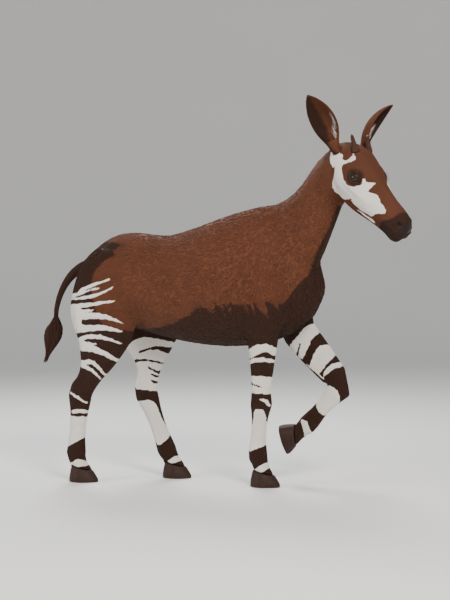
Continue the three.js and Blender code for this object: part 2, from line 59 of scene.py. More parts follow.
HEAD_LEFT = np.array([-math.sin(HEAD_TURN), math.cos(HEAD_TURN), 0.0])
CROWNWARD = np.cross(NOSEWARD, HEAD_LEFT)
HEAD_AXES = np.array([NOSEWARD, HEAD_LEFT, CROWNWARD])
FINE_GRAIN = 0.0036
HIDE_TRIANGLES = 188000
HIDE_STROKES = 190
STRIPED_SHARE = 0.55


def quickly(rough, fine):
    return fine


SHELL_GRAIN = quickly(0.006, FINE_GRAIN)


def in_head(points):
    return (points - POLL) @ HEAD_AXES.T


def from_head(points):
    return np.asarray(points) @ HEAD_AXES + POLL


def places(mesh):
    flat = np.zeros(len(mesh.vertices) * 3)
    mesh.vertices.foreach_get("co", flat)
    return flat.reshape(-1, 3)


def place(mesh, points):
    mesh.vertices.foreach_set("co", np.ascontiguousarray(points, np.float32).ravel())
    mesh.update()


def outward(mesh):
    flat = np.zeros(len(mesh.vertices) * 3, np.float32)
    mesh.vertex_normals.foreach_get("vector", flat)
    return flat.reshape(-1, 3).astype(float)


def smooth(mesh):
    mesh.polygons.foreach_set("use_smooth", np.ones(len(mesh.polygons), bool))


def settle(piece):
    """Makes a piece's modifiers part of its mesh."""
    graph = bpy.context.evaluated_depsgraph_get()
    made = bpy.data.meshes.new_from_object(piece.evaluated_get(graph))
    made.name = piece.name
    piece.modifiers.clear()
    piece.data = made
    return piece


def show(name, data):
    piece = bpy.data.objects.new(name, data)
    bpy.context.scene.collection.objects.link(piece)
    return piece


def shell_over(name, nodes, grain):
    """A fine closed shell over copies of some CAD nodes."""
    form = bmesh.new()
    for node in nodes:
        form.from_mesh(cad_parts[node].data)
    bmesh.ops.remove_doubles(form, verts=form.verts, dist=1e-5)
    mesh = bpy.data.meshes.new(name)
    form.to_mesh(mesh)
    form.free()
    shell = show(name, mesh)
    voxels = shell.modifiers.new("shell", "REMESH")
    voxels.mode = "VOXEL"
    voxels.voxel_size = grain
    return settle(shell)


def rub(piece, share, strokes):
    """Smooths a piece by each vertex's share, as a thumb does clay."""
    group = piece.vertex_groups.new(name="rub")
    share = np.broadcast_to(share, len(piece.data.vertices))
    steps = np.round(np.clip(share, 0, 1) * 50).astype(int)
    for step in np.unique(steps):
        group.add(np.nonzero(steps == step)[0].tolist(), step / 50, "REPLACE")
    smoothing = piece.modifiers.new("rub", "SMOOTH")
    smoothing.factor = 0.5
    smoothing.iterations = strokes
    smoothing.vertex_group = "rub"
    settle(piece)
    piece.vertex_groups.clear()
    smooth(piece.data)


flesh_nodes = [
    name for name in sorted(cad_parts)
    if name.split("_")[0] in ("head", "neck", "torso", "foreleg", "hindleg") and "claw" not in name
] + ["tail_dock"]
hide = shell_over("hide", flesh_nodes, SHELL_GRAIN)

flesh_points = []
flesh_faces = []
flesh_owner = []
for number, name in enumerate(flesh_nodes):
    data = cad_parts[name].data
    start = sum(len(points) for points in flesh_points)
    flesh_points.append(places(data))
    flesh_faces += [[start + corner for corner in face.vertices] for face in data.polygons]
    flesh_owner += [number] * len(data.polygons)
flesh_tree = BVHTree.FromPolygons(np.concatenate(flesh_points).tolist(), flesh_faces)
flesh_owner = np.array(flesh_owner)


def nearest_flesh(points):
    """The number of the CAD node whose surface is nearest to each point."""
    return flesh_owner[[flesh_tree.find_nearest(Vector(point))[2] for point in points]]


def is_part(owner, *starts):
    wanted = [number for number, name in enumerate(flesh_nodes) if name.startswith(starts)]
    return np.isin(owner, wanted)


eye_boxes = [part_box(f"eye_{side}") for side in ("right", "left")]
eye_centres = [np.array((low + high) / 2) for low, high in eye_boxes]
EYE_RADIUS = float((eye_boxes[1][1] - eye_boxes[1][0])[2]) / 2

points = places(hide.data)
owner = nearest_flesh(points)
on_head = is_part(owner, "head")
on_leg = is_part(owner, "foreleg", "hindleg")
head_points = in_head(points)
from_eye = np.min([np.linalg.norm(points - centre, axis=1) for centre in eye_centres], axis=0)
FOREARMS = ("foreleg_left_forearm", "foreleg_right_forearm")
THIN_PARTS = (
    "foreleg_left_cannon", "foreleg_right_cannon", "hindleg_left_cannon", "hindleg_right_cannon", "tail_dock",
)

# The trunk gives most to the thumb, then the legs, shins, head, round the eyes, and the muzzle.
softness = np.select([
    on_head & (head_points[:, 0] > 0.46), on_head & (from_eye < 1.9 * EYE_RADIUS), on_head,
    is_part(owner, *THIN_PARTS, *FOREARMS), on_leg,
], [0.04, 0.05, 0.2, 0.3, 0.55], 1.0)
rub(hide, softness, int(HIDE_STROKES * (FINE_GRAIN / SHELL_GRAIN) ** 2) + 4)

# What shows of the bones and muscles, as soft swellings and hollows: where, how far each reaches
# along, across and up, and how high it stands, in millimetres. Those of the trunk and shoulders
# are on both sides of the midline, those of the head in the head's own frame.
BOTH_SIDES = [
    ((222, 120, 1400), (45, 70, 70), 5), ((262, 150, 1270), (38, 70, 80), 6),
    ((290, 165, 1160), (55, 60, 55), 9), ((215, 190, 1020), (75, 80, 95), 8),
    ((128, 225, 1130), (45, 100, 150), -8), ((395, 130, 1190), (42, 80, 95), -7),
    ((-440, 200, 1215), (85, 100, 65), -11), ((-470, 175, 1290), (50, 70, 36), 9),
    ((-640, 120, 1300), (60, 70, 50), 6), ((-300, 235, 1010), (150, 90, 120), 5),
    ((495, 45, 1010), (60, 55, 80), 8), ((60, 200, 860), (120, 90, 50), 4),
    ((215, 0, 1495), (90, 50, 30), 5), ((-655, 190, 1015), (85, 90, 150), 8),
    ((-748, 120, 1010), (28, 60, 120), -5),
]
ONE_SIDE = [
    ((-515, -85, 770), (55, 60, 60), 8), ((-725, -80, 575), (26, 60, 70), -6),
    ((-640, -85, 650), (60, 60, 70), 5), ((-305, 234, 775), (45, 60, 60), 6),
    ((-515, 224, 565), (26, 60, 70), -6), ((-455, 234, 650), (60, 60, 70), 5),
    ((262, -18, 455), (26, 40, 30), 4), ((208, -40, 640), (34, 60, 80), -4),
    ((600, 204, 545), (34, 40, 30), 4),
]
HEAD_FORMS = [
    ((150, 100, -78), (62, 50, 52), 6), ((118, 84, 66), (34, 40, 26), -6), ((262, 84, -30), (70, 40, 14), 5),
    ((350, 70, 22), (75, 34, 26), -5), ((556, 46, 8), (26, 22, 18), 5), ((470, 40, -80), (40, 30, 20), -3),
    ((70, 70, -110), (30, 50, 60), -5), ((410, 0, 64), (90, 26, 20), 3), ((560, 0, -92), (30, 30, 20), 4),
    ((200, 0, 112), (60, 34, 30), -3), ((116, 46, 118), (34, 26, 24), 5), ((588, 47, 12), (13, 16, 6), -8),
    ((574, 50, 26), (16, 14, 7), 3), ((600, 30, -2), (10, 16, 10), 3),
]


def press(points, normals, forms):
    """How far each point moves, for forms given in millimetres."""
    rise = np.zeros(len(points))
    for centre, reach, height in forms:
        away = (points - np.array(centre) * 0.001) / (np.array(reach) * 0.001)
        rise += height * 0.001 * np.exp(-(away ** 2).sum(1))
    return normals * rise[:, None]


def mirrored(forms):
    return forms + [((x, -y, z), reach, height) for (x, y, z), reach, height in forms if y]


points = places(hide.data)
normals = outward(hide.data)
centred = points - np.array([0, MIDLINE, 0])
head_points = in_head(points)
head_normals = normals @ HEAD_AXES.T
body_share = (~on_head)[:, None]
points += press(centred, normals, mirrored(BOTH_SIDES)) * body_share
points += press(points, normals, ONE_SIDE) * body_share
points += (press(head_points, head_normals, mirrored(HEAD_FORMS)) @ HEAD_AXES) * on_head[:, None]

# The skin lies back by the coat's depth: most on the trunk, least on the feet and the face.
coat_depth = np.select([
    on_head & (from_eye < 1.7 * EYE_RADIUS), on_head & (head_points[:, 0] > 0.5), on_head,
    is_part(owner, *THIN_PARTS), on_leg,
], [0.0010, 0.0012, 0.0022, 0.0022, 0.0038], 0.0050)
place(hide.data, points - normals * coat_depth[:, None])

# The skin is thinned out to its number of triangles, least on the face and then on striped parts.
plain = hide.vertex_groups.new(name="plain")
striped = on_leg | (points[:, 0] < -0.5)
plain.add(np.nonzero(~on_head & ~striped)[0].tolist(), 1.0, "REPLACE")
plain.add(np.nonzero(striped)[0].tolist(), STRIPED_SHARE, "REPLACE")
thinning = hide.modifiers.new("thinning", "DECIMATE")
thinning.ratio = min(1, HIDE_TRIANGLES / (2 * len(hide.data.polygons)))
thinning.vertex_group = "plain"
thinning.vertex_group_factor = 1.0
settle(hide)
hide.vertex_groups.clear()
rub(hide, 0.5, 2)


def finished(piece, finish, slot, *nodes):
    """Gives a piece its material and body, and the CAD nodes that it takes the place of. Its slot is not
    used.
    """
    piece.data.materials.clear()
    piece.data.materials.append(finish)
    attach(piece, "root")
    if nodes:
        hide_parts(*nodes)


# Markings. The okapi is chestnut above and almost black on the legs and at the back of the haunches,
# with white stripes and stockings on the legs and haunches and a pale cheek. The near black under the
# belly and on the chest and throat is painted shade. Each mark is drawn in millimetres on the side of the
# body,
# forward and up, as a line that tapers or as an outline, and goes right through the leg, as the
# bands of the real animal go round it.
HAUNCH_STRIPES = [
    [(-758, 1015, 9), (-730, 1042, 9), (-668, 1064, 8), (-580, 1095, 5)],
    [(-830, 1000, 9), (-758, 1015, 9), (-703, 1032, 5), (-628, 1050, 4)],
    [(-830, 985, 4), (-763, 992, 5), (-701, 1000, 9), (-642, 1012, 8), (-588, 1035, 6), (-556, 1054, 3)],
    [(-840, 945, 12), (-780, 950, 12), (-705, 959, 12), (-662, 964, 9), (-596, 976, 7), (-541, 982, 3)],
    [(-757, 933, 22), (-757, 890, 26), (-753, 837, 26)],
    [(-790, 933, 22), (-790, 890, 26), (-790, 837, 26)],
    [(-737, 923, 12), (-656, 934, 4)],
    [(-724, 899, 17), (-645, 905, 16), (-584, 898, 12), (-535, 880, 6), (-505, 863, 2)],
    [(-830, 826, 22), (-753, 831, 22), (-674, 838, 16), (-602, 842, 14), (-552, 832, 10), (-509, 820, 2)],
]
RIGHT_HIND = {
    "white": HAUNCH_STRIPES + [
        [(-840, 762, 10), (-776, 767, 10), (-689, 792, 11), (-620, 792, 11), (-564, 776, 7), (-518, 755, 2)],
        [(-820, 749, 22), (-760, 749, 22), (-719, 749, 16), (-648, 754, 4)],
        [(-820, 742, 22), (-751, 739, 27), (-670, 730, 19), (-605, 704, 13), (-565, 676, 11), (-545, 655, 9)],
        [(-790, 646, 10), (-743, 648, 12), (-698, 657, 12), (-670, 652, 11), (-636, 618, 7), (-619, 579, 2)],
        [(-790, 640, 8), (-726, 630, 11), (-680, 611, 9), (-655, 584, 6), (-645, 565, 2)],
        [(-813, 484, 6), (-765, 460, 7), (-726, 432, 6)],
        [(-804, 382, 9), (-754, 388, 11), (-728, 382, 9)],
        [(-821, 88, 11), (-771, 105, 21), (-741, 99, 12)],
    ],
    "white_outlines": [[(-874, 360), (-694, 354), (-696, 269), (-738, 244), (-857, 180), (-894, 165)]],
}
LEFT_HIND = {
    "white": [[(-343, 90, 9), (-311, 104, 18), (-293, 104, 13)]],
    "white_outlines": [
        [(-625, 672), (-590, 722), (-532, 761), (-475, 775), (-387, 760), (-280, 729), (-310, 646),
         (-330, 587), (-355, 538), (-409, 466), (-459, 478), (-560, 484), (-575, 559), (-585, 600),
         (-625, 659)],
        [(-560, 400), (-518, 418), (-458, 428), (-430, 406), (-397, 330), (-345, 224), (-406, 173),
         (-463, 219), (-520, 290), (-560, 367)],
    ],
    "dark": [
        [(-270, 680, 32), (-350, 694, 21), (-405, 714, 11), (-457, 709, 7), (-516, 688, 2)],
        [(-600, 618, 9), (-577, 625, 10), (-534, 641, 8), (-478, 646, 6), (-422, 636, 6), (-393, 623, 2)],
        [(-470, 606, 2), (-419, 576, 8), (-340, 546, 11)],
        [(-453, 568, 2), (-409, 543, 7), (-345, 517, 10)],
        [(-453, 532, 3), (-420, 513, 10), (-365, 486, 26)],
    ],
}
RIGHT_FORE = {
    "white": [
        [(140, 652, 5), (199, 678, 11), (244, 684, 12), (290, 676, 9), (335, 652, 4)],
        [(150, 641, 4), (150, 475, 4), (156, 398, 6), (158, 333, 8)],
        [(222, 473, 4), (253, 464, 9), (268, 436, 4)],
        [(148, 110, 3), (156, 73, 6)],
    ],
    "white_outlines": [
        [(132, 684), (161, 731), (218, 761), (270, 768), (307, 749), (340, 709), (346, 684), (301, 702),
         (268, 728), (231, 712), (178, 690)],
        [(146, 591), (239, 597), (306, 583), (300, 495), (235, 502), (146, 503)],
        [(190, 415), (219, 422), (243, 416), (248, 352), (248, 250), (248, 229), (140, 180), (145, 296),
         (176, 343)],
        [(146, 70), (235, 134), (262, 116), (256, 99), (160, 48)],
    ],
    "dark": [[(140, 563, 9), (192, 548, 6), (231, 537, 2)]],
}
LEFT_FORE = {
    "white": [
        [(419, 640, 4), (469, 603, 4), (513, 567, 5)],
        [(556, 381, 5), (519, 329, 2)],
    ],
    "white_outlines": [
        [(318, 727), (318, 706), (359, 689), (387, 670), (397, 664), (432, 727), (453, 780), (479, 804),
         (510, 831), (489, 852), (447, 858), (415, 841), (371, 788)],
        [(445, 650), (463, 697), (490, 739), (534, 750), (580, 712), (572, 687), (538, 652), (500, 602),
         (480, 590), (436, 634)],
        [(510, 574), (524, 615), (558, 648), (607, 657), (612, 629), (568, 622), (532, 588)],
        [(470, 444), (492, 494), (519, 521), (555, 532), (590, 510), (604, 475), (598, 444), (581, 404),
         (543, 368), (508, 371), (478, 407)],
        [(390, 346), (429, 340), (443, 297), (452, 262), (413, 247), (405, 307)],
    ],
    "dark": [[(390, 751, 2), (379, 718, 5), (362, 672, 8)]],
}
# Where the coat is near black below, forward and up in millimetres: the legs' own dark coat, and painted
# shade under the belly and on the chest and throat.
DARK_LEGS_AND_PAINTED_BELLY_SHADE = [
    (-538, 1289), (-587, 1241), (-560, 1225), (-616, 1199), (-666, 1135), (-674, 1067), (-658, 988),
    (-623, 872), (-508, 827), (-463, 822), (-297, 846), (-190, 884), (-120, 930), (-73, 962), (330, 965),
    (366, 985), (446, 1099), (478, 1120), (494, 1190), (522, 1262), (554, 1320), (577, 1372), (605, 1449),
    (638, 1500), (680, 1530), (800, 1540), (800, -50), (-1150, -50), (-1150, 1300), (-800, 1300),
]
CHEEK = [
    (-9, 10), (22, 37), (46, 41), (74, 52), (98, 38), (121, 42), (129, 84), (107, 92), (160, 86), (155, 64),
    (127, 30), (128, 10), (152, -8), (185, -26), (226, -30), (262, -14), (286, 22), (271, 50), (296, 44),
    (325, 66), (326, 47), (330, 22), (331, 14), (385, 32), (422, 19), (478, 16), (486, 0), (441, -38),
    (416, -78), (334, -102), (268, -98), (275, -74), (203, -140), (135, -150), (112, -128), (92, -34),
    (82, -17), (73, -38), (38, -36),
]
JAW_STREAK = [(292, -121), (436, -88), (440, -103), (372, -119)]
LEFT_NOSE_STREAK = [(309, 59, 4), (341, 61, 8), (412, 62, 8), (467, 44, 3)]
MUZZLE = [(472, -200), (472, -105), (484, -60), (525, -7), (545, 18), (540, 70), (700, 70), (700, -200)]

THINNEST_LINE = 0.0038
THINNEST_STROKE = 0.0050
FAR_AWAY = 9.0
# How far inside a colour a point lies is noted up to this much on either side of its edge.
WHOLLY = 0.05
TOOTH_LENGTH = 0.057
TOOTH_REACH = 0.080
RIGHT_HAUNCH_FRONT = -0.42
LEFT_HAUNCH_FRONT = -0.3
BESIDE_TAIL = 0.035
NOSE_BRIDGE = 0.02
# Round an eye there is no white, and a dark ring, out to so many of its radii.
NO_WHITE = 1.42
DARK_RING = 1.36


def rising(values, start, width):
    """0 up to the start, 1 from a width beyond it and even between."""
    return np.clip((values - start) / width, 0, 1)


def falling(values, end, width):
    """1 until a width before the end, 0 from the end on and even between."""
    return np.clip((end - values) / width, 0, 1)


def wavering(flat):
    """The small unevenness of the marks' edges."""
    x, z = flat[:, 0], flat[:, 1]
    aside = 0.0016 * np.sin(x * 190 + z * 120) + 0.0011 * np.sin(x * 370 - z * 290 + 1.3)
    up = 0.0016 * np.sin(z * 210 - x * 140 + 0.7) + 0.0011 * np.sin(z * 330 + x * 410)
    return flat + np.stack([aside, up], 1)


def rounded(outline):
    """The outline with its corners cut a little."""
    before = np.array(outline, float)
    after = np.roll(before, -1, 0)
    return np.stack([0.84 * before + 0.16 * after, 0.16 * before + 0.84 * after], 1).reshape(-1, 2)


def from_segment(points, a, b):
    """How far along a segment each point is, as a share of it, and the way to the point from there."""
    share = np.clip(((points - a) @ (b - a)) / ((b - a) @ (b - a)), 0, 1)
    return share, points - (a + share[:, None] * (b - a))


def inside_line(flat, line, thinnest=THINNEST_LINE):
    """How far inside a tapering line each flat point lies: below nought is outside."""
    best = np.full(len(flat), -FAR_AWAY)
    marks = np.array(line, float) / 1000
    radii = np.maximum(marks[:, 2], thinnest)
    for a, b, at_a, at_b in zip(marks[:-1, :2], marks[1:, :2], radii[:-1], radii[1:]):
        share, side = from_segment(flat, a, b)
        best = np.maximum(best, at_a + (at_b - at_a) * share - np.linalg.norm(side, axis=1))
    return best


def inside_outline(flat, outline):
    """How far inside a closed outline each flat point lies."""
    corners = rounded(outline) / 1000
    within = np.zeros(len(flat), bool)
    away = np.full(len(flat), FAR_AWAY)
    for a, b in zip(corners, np.roll(corners, -1, 0)):
        along = b - a
        away = np.minimum(away, np.linalg.norm(from_segment(flat, a, b)[1], axis=1))
        crosses = (a[1] > flat[:, 1]) != (b[1] > flat[:, 1])
        if abs(along[1]) > 1e-12:
            within ^= crosses & (flat[:, 0] < a[0] + (flat[:, 1] - a[1]) * along[0] / along[1])
    return np.where(within, away, -away)


def inside_marks(flat, marks):
    """How far inside the white of a leg's marks each flat point lies."""
    best = np.full(len(flat), -FAR_AWAY)
    for line in marks.get("white", []):
        best = np.maximum(best, inside_line(flat, line))
    for outline in marks.get("white_outlines", []):
        best = np.maximum(best, inside_outline(flat, outline))
    for line in marks.get("dark", []):
        best = np.minimum(best, -inside_line(flat, line, THINNEST_STROKE))
    return best


# The bones' lines of the two hind legs, forward and up in metres. The left haunch isn't seen in the
# picture, and wears the right one's stripes, carried over along these lines.
RIGHT_HIND_BONES = np.array([(-587, 1240), (-624, 1070), (-632, 900), (-642, 745), (-697, 600)]) / 1000
LEFT_HIND_BONES = np.array([(-590, 1240), (-592, 1070), (-547, 905), (-497, 765), (-480, 625)]) / 1000


def carried_over(flat, line, other):
    """Flat points, carried from beside one bent line to beside another."""
    best = np.full(len(flat), FAR_AWAY)
    moved = flat.copy()
    for a, b, c, d in zip(line[:-1], line[1:], other[:-1], other[1:]):
        along = b - a
        share, side = from_segment(flat, a, b)
        away = np.linalg.norm(side, axis=1)
        across = np.array([along[1], -along[0]]) / np.linalg.norm(along)
        there = d - c
        across_there = np.array([there[1], -there[0]]) / np.linalg.norm(there)
        place_there = c + share[:, None] * there + (side @ across)[:, None] * across_there
        nearer = away < best
        best = np.where(nearer, away, best)
        moved = np.where(nearer[:, None], place_there, moved)
    return moved


def painted_shade_teeth(flat):
    """The ragged teeth along the edge of the painted shade under the belly."""
    along = flat[:, 0] + 0.25 * flat[:, 1]
    tooth = (along / TOOTH_LENGTH + 0.3 * np.sin(along * 43)) % 1.0
    reach = rising(flat[:, 0], -0.12, 0.10) * falling(flat[:, 0], 0.36, 0.05)
    return reach * TOOTH_REACH * (tooth ** 1.7 - 0.3)


def markings(points, owner):
    """How far inside the white and the dark parts each point lies, in metres; under the belly and on the
    chest and throat the dark is painted shade.
    """
    flat = wavering(points[:, [0, 2]])
    white = np.full(len(points), -FAR_AWAY)
    for start, marks in (
        ("hindleg_right", RIGHT_HIND), ("hindleg_left", LEFT_HIND),
        ("foreleg_right", RIGHT_FORE), ("foreleg_left", LEFT_FORE),
    ):
        leg = is_part(owner, start)
        white[leg] = inside_marks(flat[leg], marks)
    behind = is_part(owner, "torso", "hindleg_right_thigh") & (points[:, 0] < RIGHT_HAUNCH_FRONT)
    haunch = behind & (points[:, 1] < MIDLINE)
    white[haunch] = np.maximum(white[haunch], inside_marks(flat[haunch], {"white": HAUNCH_STRIPES}))
    behind = is_part(owner, "torso", "hindleg_left_thigh") & (points[:, 0] < LEFT_HAUNCH_FRONT)
    haunch = behind & (points[:, 1] > MIDLINE)
    there = carried_over(flat[haunch], LEFT_HIND_BONES, RIGHT_HIND_BONES)
    white[haunch] = np.maximum(white[haunch], inside_marks(there, {"white": HAUNCH_STRIPES}))
    near_tail = np.abs(points[:, 1] - MIDLINE) < BESIDE_TAIL
    white[is_part(owner, "torso") & near_tail & (points[:, 2] > 0.9)] = -WHOLLY

    # The near black below: the legs' own dark coat, and painted shade under the belly and on the chest and
    # throat, whose edge has ragged teeth.
    dark = inside_outline(np.stack([flat[:, 0], flat[:, 1] + painted_shade_teeth(flat)], 1), DARK_LEGS_AND_PAINTED_BELLY_SHADE)
    dark[is_part(owner, "tail_dock")] = WHOLLY
    dark[haunch] = np.maximum(dark[haunch], inside_outline(there, DARK_LEGS_AND_PAINTED_BELLY_SHADE))

    on_head = is_part(owner, "head")
    in_face = in_head(points[on_head])
    face = wavering(in_face[:, [0, 2]])
    pale = np.maximum(inside_outline(face, CHEEK), inside_outline(face, JAW_STREAK))
    pale[np.abs(in_face[:, 1]) < NOSE_BRIDGE] = -WHOLLY
    streak = inside_line(face, LEFT_NOSE_STREAK)
    pale = np.where(in_face[:, 1] > NOSE_BRIDGE, np.maximum(pale, streak), pale)
    eye_away = np.min([np.linalg.norm(points[on_head] - centre, axis=1) for centre in eye_centres], axis=0)
    ring = NO_WHITE * EYE_RADIUS - eye_away
    white[on_head] = np.minimum(pale, -ring)
    round_eye = DARK_RING * EYE_RADIUS - np.min([
        np.linalg.norm((in_face - in_head(centre)) * [0.86, 1, 1], axis=1) for centre in eye_centres
    ], axis=0)
    dark[on_head] = np.maximum(inside_outline(face, MUZZLE), round_eye)
    return np.clip(white, -WHOLLY, WHOLLY), np.clip(dark, -WHOLLY, WHOLLY)


def note(mesh, **noted):
    """Notes numbers on a mesh for its finish: one for all of it, for each small solid or each corner."""
    for name, values in noted.items():
        values = np.atleast_1d(values).astype(np.float32)
        attribute = mesh.attributes.get(name) or mesh.attributes.new(name, "FLOAT", "POINT")
        attribute.data.foreach_set("value", np.repeat(values, len(mesh.vertices) // len(values)))


points = places(hide.data)
owner = nearest_flesh(points)
white, dark = markings(points, owner)
in_face = in_head(points)
NOSTRIL = np.array([0.586, 0.046, 0.014])
MOUTH = np.array([0.478, -0.040])
nose_pad = rising(in_face[:, 0], 0.588, 0.016) * rising(in_face[:, 2], -0.028, 0.010)
on_right = in_face * [1, 0, 1] + [0, 1, 0] * np.abs(in_face)
from_nostril = np.linalg.norm((on_right - NOSTRIL) / [1.5, 1, 1], axis=1)
nose_pad = np.maximum(nose_pad, falling(from_nostril, 0.012, 0.003))
lip_line = falling(np.abs(in_face[:, 2] - MOUTH[1]), 0.0055, 0.002) * rising(in_face[:, 0], MOUTH[0], 0.02)
nose_pad = np.maximum(nose_pad, lip_line) * is_part(owner, "head")
note(hide.data, white=white, dark=dark, bare=nose_pad, tone=0.5)

# The finish of skin and coat: short, dense, velvety hair, chestnut, near black and cream, with a
# soft sheen. Where a mark ends, hairs of both colours cross its edge.
CHESTNUT = (0.094, 0.0290, 0.0124, 1)
CHESTNUT_DEEP = (0.066, 0.020, 0.0085, 1)
CHESTNUT_PALE = (0.128, 0.0430, 0.0198, 1)
NEAR_BLACK = (0.021, 0.0072, 0.0036, 1)
NEAR_BLACK_PALE = (0.037, 0.0140, 0.0070, 1)
CREAM = (0.84, 0.80, 0.74, 1)
CREAM_DEEP = (0.66, 0.60, 0.52, 1)
BARE_SKIN = (0.016, 0.010, 0.009, 1)


class Value:
    """An output of a shader node, so that maths on it reads as an expression."""

    def __init__(self, finish, socket):
        self.finish = finish
        self.socket = socket

    def maths(self, operation, *inputs):
        return self.finish.node("ShaderNodeMath", {"operation": operation}, dict(enumerate(inputs)))

    def __add__(self, other):
        return self.maths("ADD", self, other)

    __radd__ = __add__

    def __sub__(self, other):
        return self.maths("SUBTRACT", self, other)

    def __rsub__(self, other):
        return self.maths("SUBTRACT", other, self)

    def __mul__(self, other):
        return self.maths("MULTIPLY", self, other)

    __rmul__ = __mul__

    def __truediv__(self, other):
        return self.maths("DIVIDE", self, other)

    def __pow__(self, other):
        return self.maths("POWER", self, other)

    def within(self, low, high):
        """0 below the low value, 1 above the high one and smooth between."""
        settings = {"interpolation_type": "SMOOTHSTEP"}
        inputs = {"Value": self, "From Min": low, "From Max": high}
        return self.finish.node("ShaderNodeMapRange", settings, inputs)


class Finish:
    """A material while it is put together."""

    def __init__(self, name):
        self.material = bpy.data.materials.new(name)
        self.material.use_nodes = True
        self.tree = self.material.node_tree
        self.tree.nodes.clear()

    def node(self, kind, settings=None, inputs=None, output=0):
        """Adds a shader node, whose inputs are numbers, colours or the values of other nodes."""
        made = self.tree.nodes.new(kind)
        for key, value in (settings or {}).items():
            setattr(made, key, value)
        for key, value in (inputs or {}).items():
            if isinstance(value, Value):
                self.tree.links.new(value.socket, made.inputs[key])
            else:
                made.inputs[key].default_value = value
        return Value(self, made.outputs[output]) if made.outputs else None

    def noted(self, name):
        return self.node("ShaderNodeAttribute", {"attribute_name": name}, output="Fac")

    def noise(self, scale, detail=2.0, stretch=None):
        where = self.node("ShaderNodeTexCoord", output="Object")
        if stretch:
            inputs = {"Vector": where, "Scale": stretch}
            where = self.node("ShaderNodeMapping", {"vector_type": "POINT"}, inputs)
        return self.node(
            "ShaderNodeTexNoise", {"noise_dimensions": "3D"},
            {"Vector": where, "Scale": scale, "Detail": detail}, "Fac",
        )

    def mix(self, share, first, second):
        return self.node("ShaderNodeMix", {"data_type": "RGBA"}, {0: share, 6: first, 7: second}, 2)

    def bump(self, height, strength, distance):
        inputs = {"Height": height, "Strength": strength, "Distance": distance}
        return self.node("ShaderNodeBump", None, inputs)

    def surface(self, **inputs):
        shader = self.node("ShaderNodeBsdfPrincipled", None, {
            key.replace("_", " ").title().replace("Ior", "IOR"): value for key, value in inputs.items()
        })
        self.node("ShaderNodeOutputMaterial", None, {"Surface": shader})
        return self.material


def coat_finish(name, edge_noise, hair_bump):
    finish = Finish(name)
    wander = (finish.noise(70, 3) - 0.5) * edge_noise
    white = (finish.noted("white") + wander).within(-0.0011, 0.0011)
    # The near black is the legs' own dark coat and, under the belly and on the chest and throat, painted
    # shade.
    dark = (finish.noted("dark") + wander * 2.2).within(-0.004, 0.004)
    tone = finish.noted("tone")
    patches = finish.noise(7, 2)
    chestnut = finish.mix(patches.within(0.35, 0.7), CHESTNUT, CHESTNUT_DEEP)
    chestnut = finish.mix(tone, chestnut, CHESTNUT_PALE)
    black = finish.mix(tone, NEAR_BLACK, NEAR_BLACK_PALE)
    cream = finish.mix(tone * 0.5, CREAM, CREAM_DEEP)
    colour = finish.mix(white, finish.mix(dark, chestnut, black), cream)
    bare = finish.noted("bare")
    colour = finish.mix(bare, colour, BARE_SKIN)
    inputs = {
        "base_color": colour,
        "roughness": 0.74 - bare * 0.36,
        "sheen_weight": 0.07,
        "sheen_roughness": 0.45,
        "sheen_tint": (0.75, 0.60, 0.50, 1),
        "specular_ior_level": 0.14,
    }
    if hair_bump:
        hairs = finish.noise(520, 2, (1.0, 1.0, 0.32)) * 0.7 + finish.noise(150, 2) * 0.3
        inputs["normal"] = finish.bump(hairs, 0.55, 0.0016)
    return finish.surface(**inputs)


skin_finish = coat_finish("hide_finish", edge_noise=0.003, hair_bump=True)
hair_finish = coat_finish("coat_finish", edge_noise=0.0, hair_bump=False)
finished(hide, skin_finish, "coat", *flesh_nodes)

# Coat. The hair lies back along the trunk, down the neck and legs and up the face from the nose.
# It is set as small solid tufts, pointed and ridged like leaves, which overlap like tiles, each
# taking the colour of the skin that it lies on. They are smallest on the face, legs and stripes.
LIES = {
    "trunk": [(0.56, MIDLINE, 1.10), (-0.84, MIDLINE, 1.02)],
    "neck": [
        (0.668, -0.044, 1.670), (0.606, -0.006, 1.645), (0.543, 0.036, 1.580), (0.463, 0.064, 1.470),
        (0.363, 0.074, 1.340), (0.248, 0.074, 1.215),
    ],
    "head": from_head([[0.63, 0, -0.03], [-0.06, 0, -0.02]]).tolist(),
    "foreleg_right": [
        (0.188, -0.044, 1.352), (0.263, -0.064, 1.150), (0.274, -0.072, 0.960), (0.243, -0.064, 0.815),
        (0.213, -0.018, 0.458), (0.192, 0.024, 0.170), (0.216, 0.028, 0.076),
    ],
    "foreleg_left": [
        (0.203, 0.192, 1.352), (0.298, 0.212, 1.150), (0.348, 0.220, 0.965), (0.370, 0.216, 0.810),
        (0.600, 0.204, 0.531), (0.434, 0.196, 0.322), (0.356, 0.194, 0.264),
    ],
    "hindleg_right": [
        (-0.587, -0.030, 1.240), (-0.624, -0.061, 1.070), (-0.632, -0.076, 0.900), (-0.642, -0.084, 0.745),
        (-0.697, -0.082, 0.600), (-0.767, -0.076, 0.468), (-0.799, -0.060, 0.152), (-0.772, -0.056, 0.070),
    ],
    "hindleg_left": [
        (-0.590, 0.178, 1.240), (-0.592, 0.209, 1.070), (-0.547, 0.224, 0.905), (-0.497, 0.234, 0.765),
        (-0.480, 0.232, 0.625), (-0.490, 0.224, 0.455), (-0.367, 0.208, 0.152), (-0.324, 0.204, 0.074),
    ],
    "tail": [
        (-0.737, 0.074, 1.172), (-0.802, 0.070, 1.158), (-0.874, 0.064, 1.106), (-0.927, 0.060, 1.022),
        (-0.953, 0.058, 0.938), (-0.960, 0.057, 0.872),
    ],
}
# The hair's length at the start and the end of each part's line, in millimetres.
HAIR = {
    "trunk": (22, 20), "neck": (13, 20), "head": (4.5, 11), "tail": (15, 13),
    "foreleg_right": (22, 6.5), "foreleg_left": (22, 6.5),
    "hindleg_right": (22, 6.5), "hindleg_left": (22, 6.5),
}
STRIPE_HAIR = 0.0110
STRIPE_EDGE_HAIR = 0.0078
TUFT_SHARE = quickly(0.2, 1.0)


